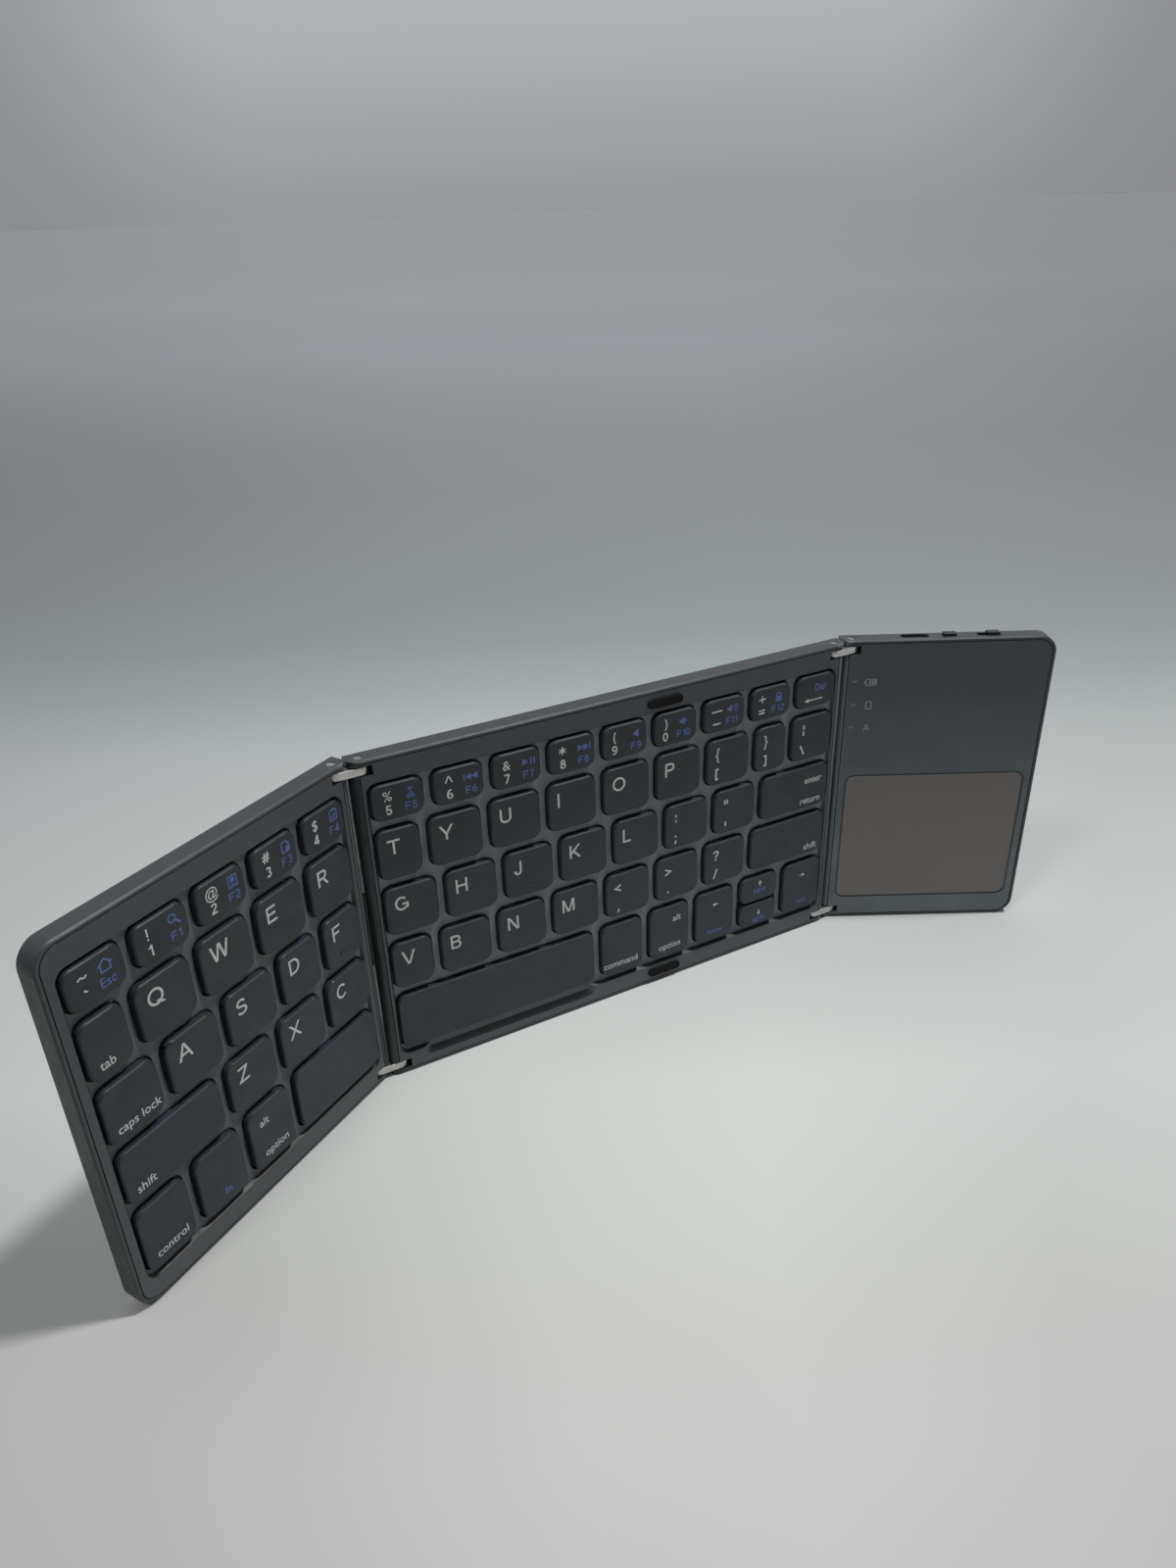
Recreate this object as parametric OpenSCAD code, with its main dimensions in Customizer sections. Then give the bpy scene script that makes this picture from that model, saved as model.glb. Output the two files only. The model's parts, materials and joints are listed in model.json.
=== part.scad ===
// Folding keyboard with touchpad, in three panels joined by two double-pin folds.
// It stands on its long front edge with both wings folded part-way forward.
// Millimetres. +X along the keyboard, keys face -Y, +Z up. Origin: middle of the
// bottom edge of the centre panel, on the plane of the hinge pins.
// Inside a panel, "depth" runs from 0 at the front face towards the back.

/* [Panels] */
// depth of the keyboard from number row to space bar, the panel height here
panel_h = 98; // [90:0.5:110]
// thickness of every panel
panel_t = 5.4; // [5.2:0.1:8]
// distance between the two rows of hinge pins of the centre panel
pin_span = 144.8; // [130:0.2:160]
// left wing, from its hinge pin to its free end
left_reach = 83.7; // [74:0.1:92]
// right wing, from its hinge pin to its free end
right_reach = 60.6; // [54:0.1:68]
// radius of the free corners of the wings
corner_r = 5.5; // [4.5:0.5:8]
// small bevel around the outer edges
bevel = 0.4; // [0.2:0.1:0.6]
// thickness of the back wall
back_wall = 0.8; // [0.6:0.1:1.2]
// width of the shell lip that frames the front
lip_w = 1.0; // [0.8:0.1:1.5]
// seam between the lip and the front plate
seam = 0.25; // [0.1:0.05:0.4]

/* [Folds] */
// how far the left wing is folded forward
left_angle = 32; // [0:1:90]
// how far the right wing is folded forward
right_angle = 28; // [0:1:90]
// distance between the two pins of a link
link_pitch = 6.6; // [6.5:0.1:9]
// height of the solid corner that holds a pin
block_h = 6.9; // [6:0.1:7]
// how far that corner reaches into the panel
block_w = 3.4; // [3:0.1:4]
// length of the strip over the flat cable in each fold
guard_l = 22; // [14:0.5:30]
// depth of the pins behind the front face
pin_depth = 2.5; // [2.4:0.1:2.6]
// how far a panel reaches past its hinge pins
end_past_pin = 3.1; // [2.6:0.1:3.2]
// radius of the rounded front corner at a fold
fold_r = 2.4; // [2:0.1:2.4]
// radius of the rounded ends of a link
link_r = 2.25; // [2:0.05:2.3]
// thickness of a link plate
link_t = 2.1; // [1.5:0.1:2.1]
// how far the link lies below the panel edge
link_inset = 1.9; // [1.7:0.1:2.4]
// radius of a hinge pin
pin_r = 0.75; // [0.6:0.05:0.8]
// radius of the pin head
pin_head_r = 1.1; // [1:0.05:1.3]
// running clearance between a pin and its hole
pin_clear = 0.05; // [0.02:0.01:0.1]

/* [Keys] */
// lower edge of the bottom row above the panel edge
low_margin = 8.6; // [8:0.1:10]
// key field of the left wing, from the free end
side_margin = 4.1; // [3.5:0.1:6]
// key field of the left wing, from its hinge pins
fold_margin = 1.5; // [1.3:0.1:3]
// key field of the centre panel, from its hinge pins
centre_margin = 1.0; // [0.9:0.1:3]
// height of the number keys
number_h = 9.9; // [8.5:0.1:11]
// height of the keys in the bottom row
low_h = 17.8; // [16:0.1:19]
// space between two rows
row_gap = 2.8; // [2.4:0.1:3.2]
// space between two keys of a row
col_gap = 2.65; // [2.4:0.05:3]
// space between two keys of the bottom row
low_gap = 2.8; // [2.4:0.05:3]
// space between the up and the down arrow
split_gap = 0.9; // [0.7:0.1:1.2]
// how far the front plate steps down around the keys
web_drop = 1.0; // [0.4:0.1:1.1]
// width of the slope from the rim down to that step
web_slope = 0.7; // [0.3:0.1:1]
// how far the key tops stand above the rim
key_rise = 0.6; // [0.3:0.1:0.6]
// gap between a key and its opening
key_gap = 0.5; // [0.4:0.1:0.8]
// corner radius of a key
key_r = 2.6; // [1.8:0.1:3]
// bevel around the top of a key
cap_bevel = 0.3; // [0.1:0.05:0.4]
// how far a key travels
key_travel = 1.0; // [0.6:0.1:1]

/* [Touchpad] */
// touch surface, from the free end of the wing
pad_side = 3.75; // [3:0.05:6]
// touch surface, from the hinge pins
pad_fold = 1.95; // [1.5:0.05:4]
// lower edge of the touch surface above the panel edge
pad_low = 8.3; // [7.5:0.1:12]
// height of the touch surface
pad_h = 44.4; // [38:0.1:46]
// corner radius of the touch surface
pad_r = 2.4; // [1.5:0.1:4]
// groove around the touch surface
pad_groove = 0.7; // [0.4:0.1:1]

/* [Desk feet] */
// length of a foot
foot_l = 16; // [10:0.5:20]
// width of a foot
foot_w = 4; // [3:0.1:6]
// how far a foot stands out of the back
foot_rise = 0.5; // [0.3:0.1:0.8]

/* [Hidden] */
$fn = 48;

H = panel_h;
T = panel_t;
end_x = pin_span / 2 + end_past_pin;        // end of the centre panel
frame_in = lip_w + seam;                    // edge of a front plate from the outer edge
plate_end = 0.55;                           // front plate reaches this far past the pins
bar_at = plate_end + seam;                  // inner face of the end bar, past the pins
rim_t = 1.6;                                // front plate thickness at the rim
floor_d = T - back_wall;                    // depth of the inside of the back wall
skirt_d = 1.5;                              // depth of the key skirt at rest
ceiling_d = 0.3;                            // depth of the inside of a key top
skirt_w = 0.9;                              // thickness of the key skirt
plate_t = 0.45;                             // key support plate
plate_d = floor_d - 0.05 - plate_t;
film_t = 0.3;                               // switch membrane
film_d = plate_d - 0.05 - film_t;
frame_bar = 0.85;                           // section of a scissor frame
notch_lo = H - link_inset - link_t - 0.3;   // lower side of a link notch
notch_hi = H - link_inset + 0.3;
notch_r = link_r + 0.2;
notch_w = 2.8;                              // room in front of a link
block_lo = H - block_h;                     // underside of the upper pin blocks
knob_d = pin_depth + 0.45;                  // depth of the knobs and the socket
plunger_d = ceiling_d + 0.25;               // depth of the plunger under a key
dome_top = plunger_d + key_travel + 0.07;
dome_r = 2.0;
scissor_in = 1.7;                           // scissor frame, from the key edge
scissor_bar = 0.8;
inner_in = scissor_bar + 0.3;               // inner frame, from the outside of the outer one
inner_bar = 0.7;
rib_pitch = 14;                             // ribs on the inside of the back walls
rib_w = 0.8;
rib_in = 9;

// key rows: number row at the top, the three letter rows share what the others leave
field_top = H - block_h - key_gap - 0.2;
number_z = field_top - number_h;
letter_h = (number_z - low_margin - low_h - 4 * row_gap) / 3;
lower_z = low_margin + low_h + row_gap;
home_z = lower_z + letter_h + row_gap;
upper_z = home_z + letter_h + row_gap;
split_z = low_margin + low_h / 2 - 0.5;
web_out = 0.9;                              // recess around the keys, past their edges
web_low = 2.3;                              // the same below the bottom row
L_x = [-left_reach + side_margin, -fold_margin];
C_x = [centre_margin - pin_span / 2, pin_span / 2 - centre_margin];

// A row of keys [x0, z0, x1, z1] that fills the field x, with widths in proportion to shares
function total(v, n) = n == 0 ? 0 : v[n - 1] + total(v, n - 1);
function row(x, z, h, gap, shares) = let (n = len(shares),
    unit = (x[1] - x[0] - gap * (n - 1)) / total(shares, n))
  [for (k = [0 : n - 1]) let (a = x[0] + unit * total(shares, k) + gap * k)
    [a, z, a + unit * shares[k], z + h]];
function some(keys, a, b) = [for (i = [a : b]) keys[i]];

L_num = row(L_x, number_z, number_h, col_gap, [1, 1, 1, 1, 1]);
L_row1 = row(L_x, upper_z, letter_h, col_gap, [0.74, 1, 1, 1, 1]);
L_row2 = row(L_x, home_z, letter_h, col_gap, [0.98, 1, 1, 0.88, 0.87]);
L_row3 = row(L_x, lower_z, letter_h, col_gap, [1.92, 1, 1, 1]);
L_low = row(L_x, low_margin, low_h, low_gap, [0.94, 0.94, 0.94, 2.07]);
C_row0 = row(C_x, number_z, number_h, col_gap, [for (k = [0 : 8]) 1]);
C_row1 = row(C_x, upper_z, letter_h, col_gap, [0.79, 1, 1, 1, 1, 1, 1, 0.74, 1]);
C_row2 = row(C_x, home_z, letter_h, col_gap, [1, 1, 1, 1, 1, 1, 1, 1.72]);
C_row3 = row(C_x, lower_z, letter_h, col_gap, [0.79, 1, 1, 1, 1, 1, 1, 1.93]);
C_low = row(C_x, low_margin, low_h, low_gap, [4.2, 0.96, 0.96, 0.96, 0.96, 0.99]);
C_up = [[C_low[4][0], split_z + split_gap / 2, C_low[4][2], C_low[4][3]]];
C_down = [[C_low[4][0], C_low[4][1], C_low[4][2], split_z - split_gap / 2]];
L_keys = concat(L_num, L_row1, L_row2, L_row3, L_low);
C_holes = concat(C_row0, C_row1, C_row2, C_row3, C_low);
C_keys = concat(C_row0, C_row1, C_row2, C_row3, some(C_low, 0, 3), some(C_low, 5, 5), C_up, C_down);
letter_w = L_row1[1][2] - L_row1[1][0];

body_c = [0.30, 0.31, 0.33];
front_c = [0.33, 0.34, 0.36];
key_c = [0.13, 0.14, 0.16];
steel_c = [0.80, 0.80, 0.78];

// ---------- placing ----------
module at_centre() translate([0, -pin_depth, 0]) children();
module at_left() translate([-pin_span / 2 - link_pitch, 0, 0]) rotate([0, 0, left_angle])
  translate([0, -pin_depth, 0]) children();
module at_right() translate([pin_span / 2 + link_pitch, 0, 0]) rotate([0, 0, -right_angle])
  translate([0, -pin_depth, 0]) children();
// both link levels, top and bottom
module both_ends() { children(); translate([0, 0, H]) mirror([0, 0, 1]) children(); }

// ---------- basic shapes ----------
module round_rect(x0, z0, x1, z1, r) {
  translate([x0 + r, z0]) square([x1 - x0 - 2 * r, z1 - z0]);
  translate([x0, z0 + r]) square([x1 - x0, z1 - z0 - 2 * r]);
  for (x = [x0 + r, x1 - r], z = [z0 + r, z1 - r]) translate([x, z]) circle(r);
}
// outline in X and Z, between two depths
module slab(d0, d1) translate([0, d1, 0]) rotate([90, 0, 0]) linear_extrude(d1 - d0) children();
module block(x0, d0, z0, x1, d1, z1) translate([x0, d0, z0]) cube([x1 - x0, d1 - d0, z1 - z0]);
module post(x, d, z0, z1, r) translate([x, d, z0]) cylinder(h = z1 - z0, r = r);

// plate whose outline shrinks by s between depth d0 and depth d1
module tapered(x0, z0, x1, z1, r, d0, d1, s) {
  translate([x0 + r, 0, 0]) rotate([90, 0, 90]) linear_extrude(x1 - x0 - 2 * r)
    polygon([[d0, z0], [d0, z1], [d1, z1 - s], [d1, z0 + s]]);
  translate([0, 0, z0 + r]) linear_extrude(z1 - z0 - 2 * r)
    polygon([[x0, d0], [x1, d0], [x1 - s, d1], [x0 + s, d1]]);
  for (x = [x0 + r, x1 - r], z = [z0 + r, z1 - r]) translate([x, d0, z])
    rotate([d1 > d0 ? -90 : 90, 0, 0]) cylinder(h = abs(d1 - d0), r1 = r, r2 = r - s);
}

// section of a panel along its length, bevelled front and back on both sides
module panel_section(a, b) polygon([[a, bevel], [a + bevel, 0], [b - bevel, 0], [b, bevel],
  [b, T - bevel], [b - bevel, T], [a + bevel, T], [a, T - bevel]]);

// free end of a wing: rounded corners with the bevel carried round them
module wing_plate(reach) {
  far = reach - corner_r;
  // full height part, from past the hinge to the corner circles
  rotate([90, 0, 90]) translate([0, 0, -far]) linear_extrude(far + 8)
    mirror([1, 0]) rotate(90) panel_section(0, H);
  // part between the corners
  translate([0, 0, corner_r]) linear_extrude(H - 2 * corner_r) panel_section(-reach, 0);
  for (z = [corner_r, H - corner_r]) translate([-far, 0, z]) rotate([-90, 0, 0])
    rotate_extrude() polygon([[0, 0], [corner_r - bevel, 0], [corner_r, bevel], [corner_r, T - bevel],
      [corner_r - bevel, T], [0, T]]);
}
// plan of a fold end at x = 0 pins, material towards -x
module fold_end_plan(x_far) {
  c = end_past_pin - fold_r;
  translate([x_far, 0]) square([c - x_far, T]);
  translate([c, fold_r]) circle(fold_r);
  translate([c - 0.5, fold_r]) square([fold_r + 0.5, T - fold_r]);
}
// room for one link at the fold end, material of the panel towards -x
module link_notch() {
  h = notch_hi - notch_lo;
  post(0, pin_depth, notch_lo, notch_hi, notch_r);
  block(-notch_w, -2, notch_lo, 6, pin_depth, notch_hi);
  block(0, pin_depth - 0.1, notch_lo, 6, pin_depth + notch_r, notch_hi);
}
module pin_hole() {
  post(0, pin_depth, block_lo - 2, H + 1, pin_r + pin_clear);
  post(0, pin_depth, H - 0.9, H + 1, pin_head_r + pin_clear);
}
// pin, head sunk just below the panel edge
module pin() {
  post(0, pin_depth, block_lo + 0.3, H - 0.8, pin_r);
  difference() {
    post(0, pin_depth, H - 0.85, H - 0.2, pin_head_r);
    block(-2, pin_depth - 0.15, H - 0.45, 2, pin_depth + 0.15, H);
  }
}
guard_t = 0.5;                    // thickness of the strip in a fold
guard_w = 1.5;
guard_lo = (H - guard_l) / 2 - 0.5;
// room beside that strip: the fold end is turned down to a smaller radius
module guard_recess() translate([0, 0, guard_lo - 0.3]) linear_extrude(guard_l + 0.6) difference() {
  translate([0, -1]) square([4, pin_depth + 1 + guard_w / 2 + 0.3]);
  translate([0, pin_depth]) circle((link_pitch - guard_t) / 2 - 0.15);
}
// solid corner that carries the pin of a fold
module pin_block() block(-block_w, rim_t + 0.05, block_lo, bar_at + 1, floor_d + 0.4, H - lip_w + 0.4);

// ---------- shells ----------
module wing_cavity(reach) slab(-1, floor_d) difference() {
  round_rect(-reach + lip_w, lip_w, 8, H - lip_w, corner_r - lip_w);
  translate([bar_at, -1]) square([12, H + 2]);
}
module wing_shell(reach) difference() {
  union() {
    difference() {
      intersection() {
        wing_plate(reach);
        linear_extrude(H) fold_end_plan(-reach - 5);
      }
      wing_cavity(reach);
    }
    both_ends() intersection() {
      pin_block();
      linear_extrude(H) fold_end_plan(-reach - 5);
    }
    // rows of ribs on the floor that stiffen the back wall
    for (x = [-reach + rib_pitch : rib_pitch : -rib_pitch / 2]) rib(x);
  }
  both_ends() { link_notch(); pin_hole(); }
  guard_recess();
}
module rib(x) block(x - rib_w / 2, floor_d - 0.05, rib_in, x + rib_w / 2, floor_d + 0.1, H - rib_in);
module left_back_shell() color(body_c) at_left() difference() {
  wing_shell(left_reach);
  wing_foot_seats(left_reach);
}
module centre_back_shell() color(body_c) at_centre() difference() {
  union() {
    difference() {
      intersection() {
        rotate([90, 0, 90]) translate([0, 0, -end_x - 1]) linear_extrude(2 * end_x + 2)
          mirror([1, 0]) rotate(90) panel_section(0, H);
        linear_extrude(H) intersection() {
          translate([pin_span / 2, 0]) fold_end_plan(-2 * pin_span);
          mirror([1, 0]) translate([pin_span / 2, 0]) fold_end_plan(-2 * pin_span);
        }
      }
      block(-pin_span / 2 - bar_at, -1, lip_w, pin_span / 2 + bar_at, floor_d, H - lip_w);
    }
    for (s = [0, 1]) mirror([s, 0, 0]) translate([pin_span / 2, 0, 0]) both_ends() intersection() {
      pin_block();
      linear_extrude(H) fold_end_plan(-20);
    }
    for (x = [-4 : 4]) rib(x * rib_pitch);
  }
  for (s = [0, 1]) mirror([s, 0, 0]) translate([pin_span / 2, 0, 0]) {
    both_ends() { link_notch(); pin_hole(); }
    guard_recess();
  }
  both_sides() foot_seat(centre_foot_x);
}
module right_back_shell() color(body_c) at_right() difference() {
  mirror([1, 0, 0]) wing_shell(right_reach);
  mirror([1, 0, 0]) wing_foot_seats(right_reach);
  // openings in the top edge
  edge_slot(socket_x, socket_w - 2 * socket_wall + 0.5, socket_t - 2 * socket_wall + 0.4, 1.3);
  edge_slot((switch_x0 + switch_x1) / 2, switch_x1 - switch_x0, knob_t + 0.3, 0.3);
  edge_slot(button_x, knob_w + 0.25, knob_t + 0.3, 0.3);
}
socket_x = 18.85;    // charging socket
socket_w = 8.6;
socket_t = 3.1;
socket_l = 7;
socket_wall = 0.3;
switch_x0 = 37.4;    // slot of the power switch
switch_x1 = 44.2;
switch_rest = 41.9;  // knob of the power switch at rest
button_x = 29.1;     // pairing button
knob_w = 3.9;
knob_t = 2;
flange_d = 2.7;      // depth of the flange under a knob
flange_z = H - lip_w - 0.25;
switch_z = H - 6.4;  // underside of both switch bodies
// opening through the top edge, centred on the knobs' line
module edge_slot(x, w, d, r) translate([x, knob_d, H - lip_w - 0.5]) linear_extrude(lip_w + 1)
  round_rect(-w / 2, -d / 2, w / 2, d / 2, r);

// ---------- front plates ----------
module key_holes(keys) slab(-1, rim_t + 1)
  for (k = keys) round_rect(k[0] - key_gap, k[1] - key_gap, k[2] + key_gap, k[3] + key_gap,
    min(key_r + key_gap, 3.1));
// recess with sloped sides, and the one that holds a panel's keys
module dish(x0, z0, x1, z1, r, slope) {
  e = 0.2;   // the slope is carried this share further out, in front of the plate
  tapered(x0 - e * slope, z0 - e * slope, x1 + e * slope, z1 + e * slope, r + e * slope,
    -e * web_drop, web_drop, (1 + e) * slope);
}
module web(x) dish(x[0] - web_out, low_margin - web_low, x[1] + web_out, field_top + web_out, 3, web_slope);
scoop_z = 3.5;
scoop_slope = 2;
module left_front_plate() color(front_c) at_left() difference() {
  slab(0, rim_t) difference() {
    round_rect(-left_reach + frame_in, frame_in, 8, H - frame_in, corner_r - frame_in);
    translate([plate_end, -1]) square([12, H + 2]);
  }
  web(L_x);
  key_holes(L_keys);
  both_ends() link_notch();
}
module centre_front_plate() color(front_c) at_centre() difference() {
  w = pin_span / 2 + plate_end;
  block(-w, 0, frame_in, w, rim_t, H - frame_in);
  web(C_x);
  // thumb scoop in front of the space bar
  dish(C_low[0][0] + 5.9, scoop_z, C_low[0][2] + 0.5, low_margin + 4, 2.4, scoop_slope);
  key_holes(C_holes);
  both_sides() translate([pin_span / 2, 0, 0]) both_ends() link_notch();
  for (z = bumper_z) slab(-1, bumper_seat) pill(bumper_x, z, bumper_l + 0.1, bumper_w + 0.1);
}
bumper_x = left_reach - pin_span / 2 + 1.6;   // where the free ends of both wings meet
bumper_z = [3.75, H - 4.1];
bumper_l = 11;
bumper_w = 2.4;
bumper_seat = 0.5;
module pill(x, z, l, w) {
  translate([x - (l - w) / 2, z - w / 2]) square([l - w, w]);
  for (s = [-1, 1]) translate([x + s * (l - w) / 2, z]) circle(w / 2);
}
module fold_bumpers() color([0.08, 0.08, 0.09]) at_centre()
  for (z = bumper_z) slab(-0.7, bumper_seat) pill(bumper_x, z, bumper_l, bumper_w);

pad_x0 = pad_fold;
pad_x1 = right_reach - pad_side;
pad_z0 = pad_low;
pad_z1 = pad_low + pad_h;
light_x = 1.8;   // status lights
light_z = [for (k = [0 : 2]) H - 13 - 7.55 * k];
module pad_outline(grow) round_rect(pad_x0 - grow, pad_z0 - grow, pad_x1 + grow, pad_z1 + grow,
  pad_r + grow);
plate_r = 1.2;   // thickness of the touchpad panel's front plate
module right_front_plate() color(front_c) at_right() difference() {
  slab(0, plate_r) mirror([1, 0]) difference() {
    round_rect(-right_reach + frame_in, frame_in, 8, H - frame_in, corner_r - frame_in);
    translate([plate_end, -1]) square([12, H + 2]);
  }
  slab(-1, 0.6) pad_outline(pad_groove);
  slab(-1, 3) pad_outline(-1.2);
  for (z = light_z) block(light_x - 1, -1, z - 0.55, light_x + 1, 3, z + 0.55);
  mirror([1, 0, 0]) both_ends() link_notch();
}

// ---------- under the keys ----------
sheet_out = 0.5;   // plate and film reach this far past the keys
module sheet_outline(x) round_rect(x[0] - sheet_out, low_margin - sheet_out, x[1] + sheet_out,
  field_top + sheet_out, 1.5);
module support_plate(x) difference() {
  slab(plate_d, plate_d + plate_t) sheet_outline(x);
  // lightening slots between the rows
  slab(plate_d - 1, floor_d) for (a = [x[0] + 12 : 18 : x[1] - 9], z = [home_z, upper_z])
    pill(a, z - row_gap / 2, 8, 1.2);
}
module centre_key_support_plate() color(steel_c) at_centre() support_plate(C_x);
module left_key_support_plate() color(steel_c) at_left() support_plate(L_x);
module film(x) slab(film_d, film_d + film_t) sheet_outline(x);
module centre_switch_membrane() color([0.75, 0.78, 0.72]) at_centre() film(C_x);
module left_switch_membrane() color([0.75, 0.78, 0.72]) at_left() film(L_x);
// size of the scissor frame under a key, in X and in Z; a tall one carries a second frame inside it
function frame_w(k) = min(k[2] - k[0], letter_w) - 2 * scissor_in;
function frame_h(k) = min(k[3] - k[1], letter_h) - 2 * scissor_in;
function is_double(k) = frame_h(k) > 8;
// rubber dome, as wide as the hole of the innermost frame allows
module dome(k) {
  walls = is_double(k) ? inner_in + inner_bar : scissor_bar;
  r = min(dome_r, min(frame_w(k), frame_h(k)) / 2 - walls - 0.3);
  translate([(k[0] + k[2]) / 2, film_d - 0.03, (k[1] + k[3]) / 2]) rotate([90, 0, 0]) {
    cylinder(h = 0.25, r = r + 0.15);
    cylinder(h = film_d - 0.03 - dome_top, r1 = r, r2 = 0.6 * r);
  }
}
module centre_rubber_domes() color([0.85, 0.85, 0.83]) at_centre() for (k = C_keys) dome(k);
module left_rubber_domes() color([0.85, 0.85, 0.83]) at_left() for (k = L_keys) dome(k);
// flat ring round the point (x, z), with a wall of the given width
module ring(x, z, w, h, wall) slab(film_d - 0.04 - frame_bar, film_d - 0.04) difference() {
  translate([x - w / 2, z - h / 2]) square([w, h]);
  translate([x - w / 2 + wall, z - h / 2 + wall]) square([w - 2 * wall, h - 2 * wall]);
}
// scissor: an outer and an inner frame joined by a pivot at each side
module scissor(k) {
  x = (k[0] + k[2]) / 2;
  z = (k[1] + k[3]) / 2;
  w = frame_w(k);
  h = frame_h(k);
  ring(x, z, w, h, scissor_bar);
  if (is_double(k)) {
    ring(x, z, w - 2 * inner_in, h - 2 * inner_in, inner_bar);
    for (s = [-1, 1]) translate([x + s * (w / 2 - inner_in), film_d - 0.04 - frame_bar / 2, z])
      rotate([0, 90, 0]) cylinder(h = inner_in, r = 0.3, center = true);
  }
}
module centre_scissor_frames() color([0.9, 0.9, 0.88]) at_centre() for (k = C_keys) scissor(k);
module left_scissor_frames() color([0.9, 0.9, 0.88]) at_left() for (k = L_keys) scissor(k);

// ---------- keys ----------
module cap(k) {
  r = min(key_r, (k[3] - k[1]) / 3.4);
  difference() {
    union() {
      slab(cap_bevel - key_rise, skirt_d) round_rect(k[0], k[1], k[2], k[3], r);
      tapered(k[0], k[1], k[2], k[3], r, cap_bevel - key_rise, -key_rise, cap_bevel);
    }
    slab(ceiling_d, skirt_d + 1) round_rect(k[0] + skirt_w, k[1] + skirt_w, k[2] - skirt_w,
      k[3] - skirt_w, 1);
  }
  // plunger over the dome
  translate([(k[0] + k[2]) / 2, plunger_d, (k[1] + k[3]) / 2]) rotate([90, 0, 0])
    cylinder(h = 0.35, r = 1.1);
}
module caps(keys) color(key_c) for (k = keys) cap(k);
// raised bar that marks a home key
module home_bar(k) color(key_c) translate([(k[0] + k[2]) / 2 - 1.8, -key_rise - 0.2, k[1] + 2.7])
  cube([3.6, 0.25, 0.5]);
module left_number_keys() at_left() caps(L_num);
module left_upper_letter_keys() at_left() caps(some(L_row1, 1, 4));
module left_home_letter_keys() at_left() { caps(some(L_row2, 1, 4)); home_bar(L_row2[4]); }
module left_lower_letter_keys() at_left() caps(some(L_row3, 1, 3));
module tab_key() at_left() caps([L_row1[0]]);
module caps_lock_key() at_left() caps([L_row2[0]]);
module left_shift_key() at_left() caps([L_row3[0]]);
module control_key() at_left() caps([L_low[0]]);
module function_key() at_left() caps([L_low[1]]);
module left_option_key() at_left() caps([L_low[2]]);
module left_space_key() at_left() caps([L_low[3]]);
module centre_number_keys() at_centre() caps(some(C_row0, 0, 7));
module backspace_key() at_centre() caps([C_row0[8]]);
module centre_upper_letter_keys() at_centre() caps(C_row1);
module centre_home_letter_keys() at_centre() { caps(some(C_row2, 0, 6)); home_bar(C_row2[2]); }
module enter_key() at_centre() caps([C_row2[7]]);
module centre_lower_letter_keys() at_centre() caps(some(C_row3, 0, 6));
module right_shift_key() at_centre() caps([C_row3[7]]);
module right_space_key() at_centre() caps([C_low[0]]);
module command_key() at_centre() caps([C_low[1]]);
module right_option_key() at_centre() caps([C_low[2]]);
module left_arrow_key() at_centre() caps([C_low[3]]);
module up_arrow_key() at_centre() caps(C_up);
module down_arrow_key() at_centre() caps(C_down);
module right_arrow_key() at_centre() caps([C_low[5]]);

// ---------- folds ----------
module link_plate() difference() {
  z0 = H - link_inset - link_t;
  union() {
    block(0, pin_depth - link_r, z0, link_pitch, pin_depth + link_r, z0 + link_t);
    for (x = [0, link_pitch]) post(x, pin_depth, z0, z0 + link_t, link_r);
  }
  for (x = [0, link_pitch]) post(x, pin_depth, z0 - 1, z0 + link_t + 1, pin_r + pin_clear);
}
module right_hinge_links() color(steel_c) at_centre() translate([pin_span / 2, 0, 0])
  both_ends() link_plate();
module left_hinge_links() color(steel_c) at_centre() translate([-pin_span / 2 - link_pitch, 0, 0])
  both_ends() link_plate();
// strip in the gap that covers the flat cable between two panels
module guard() block((link_pitch - guard_t) / 2, pin_depth - guard_w / 2, guard_lo,
  (link_pitch + guard_t) / 2, pin_depth + guard_w / 2, guard_lo + guard_l);
module right_cable_guard() color([0.07, 0.07, 0.08]) at_centre() translate([pin_span / 2, 0, 0]) guard();
module left_cable_guard() color([0.07, 0.07, 0.08]) at_centre()
  translate([-pin_span / 2 - link_pitch, 0, 0]) guard();
module centre_hinge_pins() color(steel_c) at_centre()
  for (s = [-1, 1]) translate([s * pin_span / 2, 0, 0]) both_ends() pin();
module left_hinge_pins() color(steel_c) at_left() both_ends() pin();
module right_hinge_pins() color(steel_c) at_right() both_ends() pin();

// ---------- touchpad panel ----------
module touchpad_surface() color([0.42, 0.40, 0.38]) at_right() slab(0.15, 0.6) pad_outline(0);
module touchpad_sensor_board() color([0.10, 0.32, 0.20]) at_right() slab(1.25, 1.75)
  pad_outline(-2);
battery_top = pad_z1 - 3.7;
module battery() color([0.75, 0.76, 0.78]) at_right() {
  slab(1.9, floor_d - 0.15) round_rect(pad_x0 + 5.5, pad_z0 + 2.7, pad_x1 - 7.5, battery_top, 1.6);
  block((pad_x0 + pad_x1) / 2 - 8, 2.4, battery_top, (pad_x0 + pad_x1) / 2 + 8, 3.6, battery_top + 2);
}
board_d = floor_d - 0.75;   // depth of the front side of the main board
board_z = pad_z1 + 3.3;
module chip(x, z, w, h, t) block(x, board_d - t, z, x + w, board_d + 0.05, z + h);
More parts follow.
